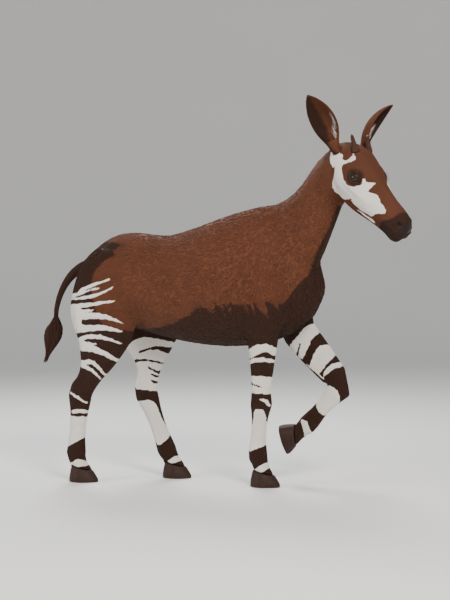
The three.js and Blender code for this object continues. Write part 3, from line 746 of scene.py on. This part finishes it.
def along_line(points, line):
    """For each point its share of the way along a line, the line's direction and the way out."""
    line = np.array(line, float)
    lengths = np.linalg.norm(np.diff(line, axis=0), axis=1)
    best = np.full(len(points), FAR_AWAY)
    share = np.zeros(len(points))
    ahead = np.zeros((len(points), 3))
    out = np.zeros((len(points), 3))
    for i, (a, b) in enumerate(zip(line[:-1], line[1:])):
        t, side = from_segment(points, a, b)
        away = np.linalg.norm(side, axis=1)
        nearer = away < best
        best = np.where(nearer, away, best)
        share = np.where(nearer, (lengths[:i].sum() + t * lengths[i]) / lengths.sum(), share)
        ahead = np.where(nearer[:, None], (b - a) / lengths[i], ahead)
        out = np.where(nearer[:, None], side, out)
    return share, ahead, out


def unit(vectors):
    return vectors / np.maximum(np.linalg.norm(vectors, axis=-1), 1e-9)[..., None]


def evened(mesh, lie, turns):
    """The lie of the hair, turned gradually from one place to the next and laid on the surface."""
    pairs = np.zeros(len(mesh.edges) * 2, np.int32)
    mesh.edges.foreach_get("vertices", pairs)
    pairs = pairs.reshape(-1, 2)
    both_ways = np.concatenate([pairs, pairs[:, ::-1]])
    count = len(mesh.vertices)
    neighbours = np.maximum(np.bincount(both_ways[:, 0], minlength=count), 1)
    for _ in range(turns):
        summed = np.stack([
            np.bincount(both_ways[:, 0], lie[both_ways[:, 1], axis], count) for axis in range(3)
        ], 1)
        lie = unit(0.5 * lie + 0.5 * summed / neighbours[:, None])
    normals = outward(mesh)
    return unit(lie - normals * (lie * normals).sum(1)[:, None])


class Skin:
    """A surface as hair needs it: where it is, which way is out, how the hair lies and how long."""

    def __init__(self, piece, lie, length):
        self.points = places(piece.data)
        self.normals = outward(piece.data)
        piece.data.calc_loop_triangles()
        flat = np.zeros(len(piece.data.loop_triangles) * 3, np.int32)
        piece.data.loop_triangles.foreach_get("vertices", flat)
        self.corners = flat.reshape(-1, 3)
        self.middles = self.points[self.corners].mean(1)
        self.lie = lie
        self.length = length
        self.tree = BVHTree.FromPolygons(self.points.tolist(), self.corners.tolist())

    def of_corners(self, values):
        return values[self.corners].mean(1)

    def scattered(self, growing, slender):
        """Even random places for tufts, closer together where they are small."""
        a, b, c = (self.points[self.corners[:, i]] for i in range(3))
        area = np.linalg.norm(np.cross(b - a, c - a), axis=1) / 2
        one = TUFT_AREA * slender * self.of_corners(self.length) ** 2
        wanted = np.cumsum(COVER * area * growing / one * TUFT_SHARE)
        number = np.diff(np.concatenate([[0], np.floor(wanted + rng.random())])).astype(int)
        chosen = np.repeat(np.arange(len(self.corners)), number)
        u, v = rng.random(len(chosen)), rng.random(len(chosen))
        fold = u + v > 1
        u, v = np.where(fold, 1 - u, u), np.where(fold, 1 - v, v)
        shares = np.stack([1 - u - v, u, v], 1)
        picked = self.corners[chosen]
        roots, ways, flow = (
            (values[picked] * shares[:, :, None]).sum(1) for values in (self.points, self.normals, self.lie)
        )
        return roots, unit(ways), unit(flow), (self.length[picked] * shares).sum(1)

    def laid(self, targets, height):
        """The targets drawn down to the skin, each then raised by its own height."""
        found = [self.tree.find_nearest(Vector(target)) for target in targets]
        spots = np.array([hit[0] for hit in found])
        ways = np.array([hit[1] for hit in found])
        return spots + ways * height[:, None]


# A tuft's corners are its root, its left and right edge and ridge at the bend, and its tip.
TUFT_FACES = [(0, 2, 3), (2, 4, 3), (4, 1, 3), (1, 0, 3), (0, 1, 4, 2)]
TUFT_PATCH = [(0, -0.0012), (-0.001, 0), (0.001, 0), (0, 0), (0, 0.0015)]
TUFT_THICKNESS = 0.13
TUFT_AREA = 0.5
BEND = 0.45
ROOT_DEPTH = 0.0005
# How much of the skin the tufts cover, how far they stand up for their length, and how much they
# turn aside. Then how lengths, widths and the heights of bends and tips differ, as shares.
COVER = 0.94
LIFT = 0.075
SWING = 0.11
LENGTHS = (0.78, 1.22)
WIDTHS = (0.85, 1.2)
BEND_HEIGHTS = (0.45, 1.15)
TIP_HEIGHTS = (0.4, 1.2)
FRINGE = 0.003


def meshed(name, corners, faces, count):
    """A mesh of many like small solids, each with its own run of corners."""
    loops = np.concatenate([np.array(face) for face in faces])
    sizes = np.array([len(face) for face in faces])
    each = len(corners) // count
    all_loops = (loops[None, :] + each * np.arange(count)[:, None]).ravel()
    starts = np.concatenate([[0], np.cumsum(np.tile(sizes, count))[:-1]])
    mesh = bpy.data.meshes.new(name)
    mesh.vertices.add(len(corners))
    mesh.vertices.foreach_set("co", corners.astype(np.float32).ravel())
    mesh.loops.add(len(all_loops))
    mesh.loops.foreach_set("vertex_index", all_loops.astype(np.int32))
    mesh.polygons.add(len(starts))
    mesh.polygons.foreach_set("loop_start", starts.astype(np.int32))
    smooth(mesh)
    mesh.update(calc_edges=True)
    return mesh, loops


def unwrapped(points, line):
    """A place on the map of a part's skin, slit along its length and laid flat."""
    share, ahead, out = along_line(points, line)
    across = unit(np.cross(ahead, [0.13, 0.97, 0.21]))
    around = np.arctan2((out * across).sum(1), (out * np.cross(ahead, across)).sum(1))
    return np.stack([0.02 + 0.96 * (around / (2 * np.pi) + 0.5), 0.02 + 0.96 * share], 1)


def hair_piece(made, roots, line, patch, notes, slot, *nodes):
    """A piece of hair, with its notes and a patch of the map for each small solid, at its root."""
    mesh, loops = made
    note(mesh, **notes)
    spots = unwrapped(roots, line)[:, None, :] + np.array(patch)[loops][None]
    mesh.uv_layers.new(name="OFBake").data.foreach_set("uv", spots.astype(np.float32).ravel())
    finished(show(mesh.name, mesh), hair_finish, slot, *nodes)


def tufts_on(name, skin, growing, line, colours, slender=0.29):
    """A piece of coat: solid tufts on the triangles where it grows."""
    roots, ways, flow, length = skin.scattered(growing, slender)
    count = len(roots)
    across = unit(np.cross(ways, flow))
    flow = unit(flow + across * rng.normal(0, SWING, count)[:, None])
    across = unit(np.cross(ways, flow))
    length = length * rng.uniform(*LENGTHS, count)
    width = length * slender * rng.uniform(*WIDTHS, count)

    # A tuft has the colour under its bend. One that crosses a mark's edge ends there, and those near
    # an edge are shorter.
    notes, inside = colours(roots + flow * (BEND * length)[:, None])
    at_tip = colours(roots + flow * length[:, None])[1]
    share = np.abs(inside) / (np.abs(inside) + np.abs(at_tip))
    length = np.where(inside * at_tip < 0, length * (BEND + (1 - BEND) * share), length)
    length = length * np.clip((np.abs(inside) + 0.005) / 0.010, 0.6, 1)

    height = length * LIFT * rng.uniform(*BEND_HEIGHTS, count)
    bends = skin.laid(roots + flow * (BEND * length)[:, None], height)
    tips = skin.laid(roots + flow * length[:, None], height * rng.uniform(*TIP_HEIGHTS, count))
    across = across * width[:, None] / 2
    ridge = bends + ways * width[:, None] * TUFT_THICKNESS
    roots = roots - ways * ROOT_DEPTH
    corners = np.stack([roots, bends + across, bends - across, ridge, tips], 1).reshape(-1, 3)
    notes["tone"] = 0.2 + 0.5 * rng.beta(2, 3, count)
    made = meshed(name, corners, TUFT_FACES, count)
    hair_piece(made, roots, line, TUFT_PATCH, notes, "coat")


rng = np.random.default_rng(31)
part_names = sorted(HAIR)
parts = [
    {"torso": "trunk", "tail_dock": "tail"}.get(name, "_".join(name.split("_")[:2])) for name in flesh_nodes
]
part_of = np.array([part_names.index(part) for part in parts])[owner]
lie = np.zeros_like(points)
hair = np.zeros(len(points))
for number, part in enumerate(part_names):
    here = part_of == number
    share, ahead, _ = along_line(points[here], LIES[part])
    lie[here] = ahead
    first, last = HAIR[part]
    hair[here] = (first + (last - first) * share) / 1000
lie[is_part(owner, "torso")] += [0, 0, -0.35]
lie[is_part(owner, "head")] += CROWNWARD * 0.1
haunch_share = falling(points[:, 0], -0.42, 0.12) * falling(points[:, 2], 1.24, 0.12)
leg_share = falling(points[:, 2], 0.86, 0.1) * is_part(owner, "foreleg", "hindleg")
edge_share = falling(np.abs(dark), 0.034, 0.012) * ~is_part(owner, "tail_dock")
fine_share = np.max([haunch_share, leg_share, 0.8 * edge_share], axis=0)
hair = np.minimum(hair, hair + (STRIPE_HAIR - hair) * fine_share)
hair = np.where(np.abs(white) < 0.008, np.minimum(hair, STRIPE_EDGE_HAIR), hair)
body_skin = Skin(hide, evened(hide.data, unit(lie), quickly(12, 40)), hair)


def body_colours(spots):
    """The notes of tufts over these spots, and how far inside a white mark or outside it each is."""
    white, dark = markings(spots, nearest_flesh(spots))
    dark = np.clip(dark + rng.normal(0, FRINGE, len(spots)), -WHOLLY, WHOLLY)
    return {"white": np.where(white > 0, WHOLLY, -WHOLLY), "dark": dark}, np.where(white == 0, 1e-6, white)


# The almond of an eye's opening, and how far its lids reach over the hide round it, as a slant. The
# hide's edge is looked for at these slants, in degrees from the way that the eye looks.
OPENING_LENGTH = 0.060
UPPER_LID = 0.0215
LOWER_LID = 0.0180
LID_WIDTH = 0.15
LID_GAP = 0.05
LID_UNDER_HAIR = 0.03
SLANTS = np.arange(26, 88)
WAYS_ROUND = 72
HEIGHT_REACH = 0.1
# For each measure that it looks aside, an eye looks this much ahead and up. Its opening tilts.
LOOK_AHEAD = 0.22
LOOK_UP = 0.12
OPENING_TILT = -0.22


def all_round(values, width):
    """Values on a ring, each evened with its neighbours."""
    return np.mean([np.roll(values, step) for step in range(-width, width + 1)], axis=0)


class Rim:
    """Where the lids of an eye run: the edge of its opening on the ball, and the hide's edge round it.

    Each is a slant away from the way the eye looks, for a ring of ways aside.
    """

    def __init__(self, centre, side):
        self.centre = centre
        self.look = unit(np.array([LOOK_AHEAD, side, LOOK_UP])) @ HEAD_AXES
        along = np.array([1, 0, OPENING_TILT]) @ HEAD_AXES
        self.along = unit(along - self.look * (along @ self.look))
        self.upward = unit(np.cross(self.look, self.along)) * (-side)
        turn = np.linspace(0, 2 * np.pi, WAYS_ROUND, endpoint=False)
        u = OPENING_LENGTH / 2 * np.cos(turn)
        v = np.where(turn < np.pi, UPPER_LID, LOWER_LID) * np.sin(turn) * np.abs(np.sin(turn)) ** 0.5
        self.aside = unit(u[:, None] * self.along + v[:, None] * self.upward)
        self.polar = np.arctan2(self.aside @ self.upward, self.aside @ self.along)
        slants = np.radians(SLANTS)
        heights = np.array([
            [self.hide_height(math.cos(slant) * self.look + math.sin(slant) * way) for slant in slants]
            for way in self.aside
        ])
        first = np.argmax(heights > EYE_RADIUS, axis=1)
        edge = all_round(slants[first], 3)
        self.opening = all_round(np.minimum(np.arcsin(np.hypot(u, v) / EYE_RADIUS), edge - LID_GAP), 1)
        self.end = edge + LID_WIDTH
        rows = np.arange(WAYS_ROUND)
        self.crest = all_round(heights[rows, first + 3], 2)
        last = np.minimum(first + round(math.degrees(LID_WIDTH)), len(SLANTS) - 1)
        self.end_height = all_round(heights[rows, last], 2)

    def hide_height(self, way):
        """How far from the eye's centre the hide's outer face is, or nought in its opening."""
        start = Vector(self.centre + way * HEIGHT_REACH)
        hit = body_skin.tree.ray_cast(start, Vector(-way), HEIGHT_REACH - 0.9 * EYE_RADIUS)
        return HEIGHT_REACH - hit[3] if hit[0] is not None else 0.0

    def bare(self, points):
        """Which points of the skin are on the lids."""
        away = points - self.centre
        slants = np.arccos(np.clip(unit(away) @ self.look, -1, 1))
        polar = np.arctan2(away @ self.upward, away @ self.along)
        limit = np.interp(polar, self.polar, self.end - LID_UNDER_HAIR, period=2 * np.pi)
        return (slants < limit) & (np.linalg.norm(away, axis=1) < 2.2 * EYE_RADIUS)


# No hair grows on the lids, whose rims are found first, nor on the nose, nostrils and lips.
rims = [Rim(centre, side) for side, centre in zip((-1, 1), eye_centres)]
growing = body_skin.of_corners(nose_pad) <= 0.5
for rim in rims:
    growing &= ~rim.bare(body_skin.middles)
UPPER_LEG = 0.70
triangle_part = part_of[body_skin.corners[:, 0]]
for number, part in enumerate(part_names):
    right = body_skin.middles[:, 1] < MIDLINE
    if part == "head":
        right = in_head(body_skin.middles)[:, 1] < 0
    halves = {"_right": right, "_left": ~right}
    if "leg" in part:
        upper = body_skin.middles[:, 2] > UPPER_LEG
        halves = {"_upper": upper, "_lower": ~upper}
    for ending, half in halves.items():
        here = (triangle_part == number) & half & growing
        tufts_on(f"coat_{part}{ending}", body_skin, here, LIES[part], body_colours)

# Ears. Large cups of thin gristle under short hair: chestnut, with a streak of long pale hair inside one
# edge above the root. Both faces are darker, almost black, towards the outer edge and the root: partly
# the ear's own dark edge, partly painted shade of the cup.
EAR_LENGTH = 0.318
EAR_HAIR_DEPTH = 0.0009
EARS = {
    "right": {
        "root": (0.024, -0.084, 0.036), "rise": (-0.66, -0.45, 0.60), "mouth": (0.55, -0.8, 0.1),
        "streak": -1,
    },
    "left": {
        "root": (0.044, 0.084, 0.046), "rise": (-0.44, 0.57, 0.69), "mouth": (0.85, 0.42, 0.1),
        "streak": 1,
    },
}
STRAND_STATIONS = 6


def swept(name, rings, closed=False):
    """Solids with given rings of corners, an array of shape (solids, stations, sides, 3)."""
    count, stations, sides, _ = rings.shape
    faces = []
    for k in range(stations if closed else stations - 1):
        for j in range(sides):
            a, b = k * sides + j, k * sides + (j + 1) % sides
            c, d = ((k + 1) % stations) * sides + (j + 1) % sides, ((k + 1) % stations) * sides + j
            faces.append((a, b, c, d))
    if not closed:
        faces.append(tuple(range(sides))[::-1])
        faces.append(tuple((stations - 1) * sides + j for j in range(sides)))
    return meshed(name, rings.reshape(-1, 3), faces, count)


def tubes(name, paths, across, up, sides):
    """Solids swept along paths: arrays of shape (tubes, stations, 3), across and up being radii."""
    turn = 2 * np.pi * np.arange(sides) / sides
    across, up = (np.broadcast_to(radius, paths.shape)[:, :, None] for radius in (across, up))
    return swept(name, paths[:, :, None] + across * np.cos(turn)[:, None] + up * np.sin(turn)[:, None])


def tube_patch(stations, sides, across, along, before):
    """Where a tube's corners lie on its patch of the map."""
    number = np.arange(stations * sides)
    return np.stack([across * (number % sides), along * (number // sides)], 1) - before


def clay(name, node, grains, share, strokes):
    shell = shell_over(name, [node], quickly(*grains))
    rub(shell, share, quickly(*strokes))
    return shell


for side, ear in EARS.items():
    sheath = clay(f"ear_{side}_skin", f"ear_{side}", (0.0042, 0.0024), 0.7, (8, 26))
    root = from_head(ear["root"])
    rise = unit(np.array(ear["rise"])) @ HEAD_AXES
    mouth = np.array(ear["mouth"]) @ HEAD_AXES
    mouth = unit(mouth - rise * (mouth @ rise))
    outer_edge = unit(np.cross(rise, mouth)) * (-1 if side == "right" else 1)
    normals = outward(sheath.data)
    points = places(sheath.data) - normals * EAR_HAIR_DEPTH
    place(sheath.data, points)
    reach = (points - root) @ rise / EAR_LENGTH
    middle = root + rise * np.clip(reach, 0, 1)[:, None] * EAR_LENGTH
    beside = (points - middle) @ outer_edge
    # Almost black towards the outer edge and the root, on both faces: partly the ear's own dark edge, partly
    # painted shade.
    edge_dark_and_painted_shade = np.clip(0.5 * (beside - 0.016) + 0.10 * (0.10 - reach).clip(0), -WHOLLY, WHOLLY)
    inner = rising(normals @ mouth, 0.1, 0.3) * rising(reach, 0.12, 0.08)
    note(sheath.data, white=-WHOLLY, dark=edge_dark_and_painted_shade, tone=0.35 + 0.3 * inner, bare=inner * 0.12)
    finished(sheath, skin_finish, "dark_coat", f"ear_{side}")

    ear_line = [root, root + rise * EAR_LENGTH]
    lie_here = evened(sheath.data, np.tile(rise, (len(points), 1)), 6)
    ear_skin = Skin(sheath, lie_here, 0.0065 + 0.0025 * np.clip(reach, 0, 1))

    def ear_colours(spots):
        nearest = [ear_skin.tree.find_nearest(Vector(spot))[2] for spot in spots]
        # Each tuft takes the dark edge and painted shade of the skin under it.
        dark = edge_dark_and_painted_shade[ear_skin.corners[nearest, 0]] + rng.normal(0, FRINGE, len(spots))
        return {"white": -WHOLLY, "dark": np.clip(dark, -WHOLLY, WHOLLY)}, WHOLLY

    in_air = ear_skin.of_corners(reach) > -0.01
    tufts_on(f"coat_ear_{side}", ear_skin, in_air, ear_line, ear_colours, slender=0.26)

    # The long hair rises along the inside of the cup near its edge, mostly pale.
    count = quickly(40, 75)
    level = np.clip(reach * 20, 0, 20).astype(int)
    edge = np.array([(beside * ear["streak"])[level == step].max(initial=0) for step in range(21)])[level]
    from_rim = edge - beside * ear["streak"]
    along_rim = (inner > 0.1) & (from_rim > 0.010) & (from_rim < 0.023) & (reach > 0.17) & (reach < 0.50)
    picked = rng.choice(np.nonzero(along_rim)[0], count)
    steps = np.linspace(0, 1, STRAND_STATIONS)[None, :, None]
    length = rng.uniform(0.030, 0.052, count)[:, None, None]
    out_of_cup = unit(normals[picked])[:, None]
    sweep_back = rng.uniform(-0.15, 0.10, count)[:, None, None]
    paths = points[picked][:, None] + length * (
        steps * rise + steps * (1 - 0.75 * steps) * 0.42 * out_of_cup + sweep_back * steps ** 2 * outer_edge
    )
    slim = 0.0007 * (1 - 0.85 * steps) * rng.uniform(0.7, 1.3, count)[:, None, None]
    strand_side = unit(np.cross(rise, out_of_cup))
    made = tubes(f"ear_{side}_long_hair", paths, strand_side * slim, out_of_cup * slim * 0.6, 3)
    pale = rng.random(count) < 0.7
    notes = {"white": np.where(pale, WHOLLY, -WHOLLY), "dark": -WHOLLY, "tone": rng.random(count)}
    patch = tube_patch(STRAND_STATIONS, 3, 0.0008, 0.0005, 0.001)
    hair_piece(made, points[picked], ear_line, patch, notes, "coat")

# Eyes. Large and dark, with a deep brown iris, a level pupil and a little of the white at both
# corners, wet and smooth, behind bare black lids with lashes on the upper one. A lid rises from the
# ball over the edge of the hide's opening and is sunk in the hide behind it.
BALL_PLAY = 0.0004
LASHES = 34
LASH_ROOT = 0.0035

# Across a lid: the share of the way from its edge to its end, how much of the heights of its crest
# and of its end it has there, and how many millimetres more.
LID_SECTION = np.array([
    (0, 0, 0, -0.6), (0, 0, 0, 0.9), (0.14, 0.38, 0, 0.9), (0.34, 0.82, 0, 0.6), (0.56, 1, 0, 0.9),
    (0.78, 0.5, 0.5, 0.7), (1, 0, 1, -0.9), (1, 0, 0, 0),
])
eye_finish = Finish("eye_finish")
u, v = eye_finish.noted("iris_u"), eye_finish.noted("iris_v")
outwards = (u * u + v * v) ** 0.5
fibres = eye_finish.noise(900, 3)
iris = eye_finish.mix(fibres, (0.014, 0.0055, 0.0026, 1), (0.046, 0.0170, 0.0075, 1))
iris = eye_finish.mix(outwards.within(0.52, 0.70), iris, (0.010, 0.005, 0.004, 1))
ball_colour = eye_finish.mix(outwards.within(0.70, 0.735), iris, (0.62, 0.56, 0.50, 1))
ball_colour = eye_finish.mix(outwards.within(0.86, 1.0), ball_colour, (0.16, 0.07, 0.05, 1))
pupil = ((u / 0.40) ** 2 + (v / 0.23) ** 2).within(1.08, 0.92)
eye_finish.surface(
    base_color=eye_finish.mix(pupil, ball_colour, (0.002, 0.002, 0.002, 1)), roughness=0.06,
    specular_ior_level=0.3,
)
lid_finish = Finish("lid_finish")
lid_finish.surface(
    base_color=lid_finish.mix(lid_finish.noise(240), (0.019, 0.0090, 0.0055, 1), (0.044, 0.0185, 0.0100, 1)),
    roughness=0.60, specular_ior_level=0.2, normal=lid_finish.bump(lid_finish.noise(700, 3), 0.4, 0.0006),
)
for name, rim in zip(("right", "left"), rims):
    centre, look, along, upward = rim.centre, rim.look, rim.along, rim.upward
    ball = bmesh.new()
    bmesh.ops.create_uvsphere(ball, u_segments=56, v_segments=36, radius=EYE_RADIUS - BALL_PLAY)
    ball_mesh = bpy.data.meshes.new(f"eye_{name}_ball")
    ball.to_mesh(ball_mesh)
    ball.free()
    local = places(ball_mesh)
    cornea = rising(local[:, 2] / EYE_RADIUS, 0.70, 0.30) ** 1.5
    turned = local[:, :1] * along + local[:, 1:2] * upward + local[:, 2:] * look
    place(ball_mesh, centre + turned * (1 + 0.05 * cornea)[:, None])
    iris_u, iris_v = np.where(local[:, 2:] > 0, local[:, :2] / EYE_RADIUS, 1.0).T
    note(ball_mesh, iris_u=iris_u, iris_v=iris_v)
    if np.linalg.det([along, upward, look]) < 0:
        ball_mesh.flip_normals()
    smooth(ball_mesh)
    finished(show(f"eye_{name}_ball", ball_mesh), eye_finish.material, "eye", f"eye_{name}")

    across_lid, crest_part, end_part, extra = LID_SECTION.T
    slant = (rim.opening[:, None] + (rim.end - rim.opening)[:, None] * across_lid)[..., None]
    lid_ways = np.cos(slant) * look + np.sin(slant) * rim.aside[:, None]
    stand = (rim.crest[:, None] - EYE_RADIUS) * crest_part
    stand = stand + (rim.end_height[:, None] - EYE_RADIUS) * end_part
    from_centre = (EYE_RADIUS + stand + extra / 1000)[..., None]
    lid_mesh, _ = swept(f"lids_{name}", (centre + lid_ways * from_centre)[None], True)
    lid_form = bmesh.new()
    lid_form.from_mesh(lid_mesh)
    bmesh.ops.recalc_face_normals(lid_form, faces=lid_form.faces)
    lid_form.to_mesh(lid_mesh)
    lid_form.free()
    finished(show(f"lids_{name}", lid_mesh), lid_finish.material, "dark_coat")

    at = np.linspace(0.16, 0.84, LASHES) * np.pi
    lash_u = OPENING_LENGTH / 2 * np.cos(at)
    lash_v = UPPER_LID * np.sin(at) ** 1.5
    depth = np.sqrt(EYE_RADIUS ** 2 - lash_u ** 2 - lash_v ** 2)
    ways = unit(lash_u[:, None] * along + lash_v[:, None] * upward + depth[:, None] * look)
    steps = np.linspace(0, 1, 5)[None, :, None]
    spread = (lash_u / OPENING_LENGTH * 0.010)[:, None, None] * along
    lash_length = rng.uniform(0.013, 0.019, LASHES)[:, None, None]
    paths = (
        centre + ways[:, None] * (EYE_RADIUS + LASH_ROOT) + ways[:, None] * lash_length * steps
        + upward * (-0.35 * lash_length * steps + 0.45 * lash_length * steps ** 2) + spread * steps
    )
    slim = 0.00055 * (1 - 0.85 * steps)
    lash_mesh, _ = tubes(f"lashes_{name}", paths, along * slim, upward * slim, 3)
    finished(show(f"lashes_{name}", lash_mesh), lid_finish.material, "dark_coat")

# Ossicones. Short bony horns under the same hair as the brow, worn bare and pale at the tips.
BARE_FROM = 0.90
STEM_HAIR = 0.0062
horn_tip_finish = Finish("ossicone_finish")
tip_share = horn_tip_finish.noted("bare")
under = horn_tip_finish.mix(horn_tip_finish.noise(90, 3), CHESTNUT_DEEP, NEAR_BLACK)
polished = horn_tip_finish.mix(horn_tip_finish.noise(160, 3), (0.12, 0.075, 0.05, 1), (0.20, 0.14, 0.10, 1))
horn_tip_finish.surface(
    base_color=horn_tip_finish.mix(tip_share.within(0.35, 0.65), under, polished),
    roughness=0.7 - tip_share * 0.35,
    normal=horn_tip_finish.bump(horn_tip_finish.noise(420, 3), 0.5, 0.0008),
)
for side in ("right", "left"):
    horn = clay(f"ossicone_{side}_core", f"ossicone_{side}", (0.0032, 0.0018), 0.7, (10, 30))
    points = places(horn.data)
    level = (points - points.mean(0)) @ unit(points[points[:, 2].argmax()] - points[points[:, 2].argmin()])
    level = (level - level.min()) / (level.max() - level.min())
    place(horn.data, points - outward(horn.data) * (0.0012 * (level < BARE_FROM))[:, None])
    note(horn.data, bare=rising(level, BARE_FROM, 0.05), white=-WHOLLY, dark=-WHOLLY, tone=0.5)
    finished(horn, horn_tip_finish.material, "ossicone_skin", f"ossicone_{side}")
    foot, tip = points[level.argmin()], points[level.argmax()]
    upwards = unit(tip - foot)
    stem_lie = evened(horn.data, np.tile(upwards, (len(points), 1)), 4)
    stem_skin = Skin(horn, stem_lie, np.full(len(points), STEM_HAIR))

    def stem_colours(spots):
        rise = ((spots - foot) @ upwards) / np.linalg.norm(tip - foot)
        dark = np.where(rng.random(len(spots)) < 0.25 + 0.6 * rise, 0.02, -0.02)
        return {"white": -WHOLLY, "dark": dark}, WHOLLY

    below_tip = stem_skin.of_corners(level) < BARE_FROM
    tufts_on(f"coat_ossicone_{side}", stem_skin, below_tip, [foot, tip], stem_colours)

# Hooves. Two claws of dark brown horn to a foot, smooth, with faint growth rings across and fine
# fibres down the wall.
horn_finish = Finish("hoof_finish")
level = horn_finish.noted("level")
fibre = horn_finish.noise(260, 3, (1.0, 1.0, 0.12))
ring_wave = horn_finish.noise(30, 2) * 5.0 + level * 900.0
rings = ring_wave.maths("SINE", ring_wave)
horn_colour = horn_finish.mix(fibre.within(0.3, 0.75), (0.017, 0.0068, 0.0038, 1), (0.038, 0.0150, 0.0085, 1))
horn_colour = horn_finish.mix((0.012 - level).within(0.0, 0.010) * 0.4, horn_colour, (0.060, 0.033, 0.021, 1))
horn_finish.surface(
    base_color=horn_colour, roughness=0.50 + fibre * 0.2, specular_ior_level=0.25,
    normal=horn_finish.bump(rings * 0.35 + fibre * 0.8, 0.5, 0.0009),
)
LIFTED_FOOT = math.radians(74)
for name in sorted(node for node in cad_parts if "claw" in node):
    claw = clay(f"{name}_horn", name, (0.005, 0.0031), 0.6, (6, 16))
    points = places(claw.data)
    if name.startswith("foreleg_left"):
        foot_up = np.array([math.sin(LIFTED_FOOT), 0, math.cos(LIFTED_FOOT)])
    else:
        foot_up = np.array([0.0, 0.0, 1.0])
        points[:, 2] = np.maximum(points[:, 2], 0)
        place(claw.data, points)
    level = points @ foot_up
    note(claw.data, level=level - level.min())
    finished(claw, horn_finish.material, "hoof_horn", name)

# Tail tuft. Long coarse hair, almost black, hanging in fine locks that leave the end of the dock
# one above the other, swell over each other and end at different heights.
LOCKS = quickly(150, 420)
LOCK_TAPER = np.array([0.7, 1, 1, 0.95, 0.85, 0.65, 0.4, 0.06])
LOCK_SIDES = 5
TUFT_LENGTH = 0.250
dock_end = np.array([-0.960, 0.057, 0.872])
dock_down = unit(np.array([-0.105, -0.015, -0.994]))
leaves = rng.uniform(-0.07, 0.30, LOCKS)
ends = rng.uniform(0.62, 0.99, LOCKS)
turn = np.arange(LOCKS) * math.pi * (3 - math.sqrt(5))
out = np.stack([np.cos(turn), np.sin(turn), 0 * turn], 1)
steps = np.linspace(0, 1, len(LOCK_TAPER))
share = leaves[:, None] + (ends - leaves)[:, None] * steps[None]
swell = (10 + 43 * np.sin(np.pi * np.clip(0.2 + share, 0, 1)) * (1 - 0.4 * steps[None] ** 2)) / 1000
swell *= (0.25 + 0.75 * rng.uniform(0.35, 1.0, LOCKS) ** 0.6)[:, None]
swell *= np.clip(0.45 + 1.9 * steps, 0, 1)[None]
spine = (
    dock_end + dock_down * (TUFT_LENGTH * share)[..., None]
    + np.array([-0.16, 0, 0]) * (TUFT_LENGTH * np.clip(share, 0, 1) ** 2)[..., None]
)
wander = rng.uniform(0, 2 * np.pi, LOCKS)[:, None] + steps[None] * rng.uniform(1.5, 5.0, LOCKS)[:, None]
aside = np.stack([-np.sin(turn), np.cos(turn), 0 * turn], 1)
paths = (
    spine + out[:, None] * swell[..., None]
    + aside[:, None] * (0.0028 * np.sin(wander) * steps[None])[..., None]
    + out[:, None] * (0.0016 * np.cos(wander * 1.3) * steps[None])[..., None]
)
broad = rng.uniform(0.0022, 0.0042, LOCKS)[:, None] * LOCK_TAPER[None]
made = tubes(
    "tail_tuft_locks", paths, aside[:, None] * broad[..., None], out[:, None] * (0.42 * broad)[..., None],
    LOCK_SIDES,
)
notes = {"tone": rng.beta(2, 3, LOCKS), "dark": WHOLLY, "white": -WHOLLY}
patch = tube_patch(len(LOCK_TAPER), LOCK_SIDES, 0.0003, 0.0003, 0.0008)
hair_piece(made, paths[:, 0], LIES["tail"], patch, notes, "dark_coat", "tail_tuft")

# Floor, light and camera. The model stands on a plain pale studio floor that sweeps up all round it,
# under large soft lamps, seen from its right and a little ahead, at about the height of its chest.
BEND_RADIUS = 5.4
FLAT_RADIUS = 8.6
BEND_STEPS = 12
sweep = bmesh.new()
profile = [sweep.verts.new((0, 0, 0)), sweep.verts.new((FLAT_RADIUS, 0, 0))]
for step in range(1, BEND_STEPS + 1):
    turn = math.pi / 2 * step / BEND_STEPS
    profile.append(sweep.verts.new((
        FLAT_RADIUS + BEND_RADIUS * math.sin(turn), 0, BEND_RADIUS * (1 - math.cos(turn)),
    )))
edges = [sweep.edges.new(pair) for pair in zip(profile[:-1], profile[1:])]
bmesh.ops.spin(
    sweep, geom=profile + edges, cent=(0, 0, 0), axis=(0, 0, 1), angle=2 * math.pi, steps=96, use_merge=True,
    use_duplicate=False,
)
bmesh.ops.remove_doubles(sweep, verts=sweep.verts, dist=1e-4)
bmesh.ops.recalc_face_normals(sweep, faces=sweep.faces)
for face in sweep.faces:
    face.smooth = True
floor_mesh = bpy.data.meshes.new("floor")
sweep.to_mesh(floor_mesh)
sweep.free()
floor = show("floor", floor_mesh)
paper = Finish("pale_floor")
floor.data.materials.append(paper.surface(
    base_color=paper.mix(paper.noise(0.6, 1), (0.76, 0.75, 0.73, 1), (0.80, 0.79, 0.77, 1)), roughness=0.9,
))


def aimed(name, data, where, target):
    """A lamp or the camera in its place, turned to its target."""
    held = show(name, data)
    held.location = where
    held.rotation_euler = (Vector(target) - Vector(where)).to_track_quat("-Z", "Y").to_euler()
    return held


def lamp(name, where, target, size, power, colour):
    light = bpy.data.lights.new(name, "AREA")
    light.shape = "DISK"
    light.size = size
    light.energy = power
    light.color = colour
    aimed(name, light, where, target)


lamp("key", (3.2, -4.8, 4.6), (0, 0, 1.0), 2.2, 470, (1.0, 0.97, 0.93))
lamp("fill", (-4.6, -3.6, 2.6), (0, 0, 0.9), 3.0, 190, (0.95, 0.97, 1.0))
lamp("rim", (-1.5, 3.0, 4.2), (0, 0, 1.1), 2.4, 230, (1.0, 1.0, 1.0))
world = bpy.data.worlds.new("studio")
bpy.context.scene.world = world
world.use_nodes = True
world.node_tree.nodes["Background"].inputs["Color"].default_value = (0.96, 0.97, 1.0, 1)
world.node_tree.nodes["Background"].inputs["Strength"].default_value = 0.50

camera = bpy.data.cameras.new("camera")
camera.lens = 90
camera.sensor_width = 36
bpy.context.scene.camera = aimed("camera", camera, (2.0686, -7.6534, 1.30), (-0.002, 0.074, 0.985))
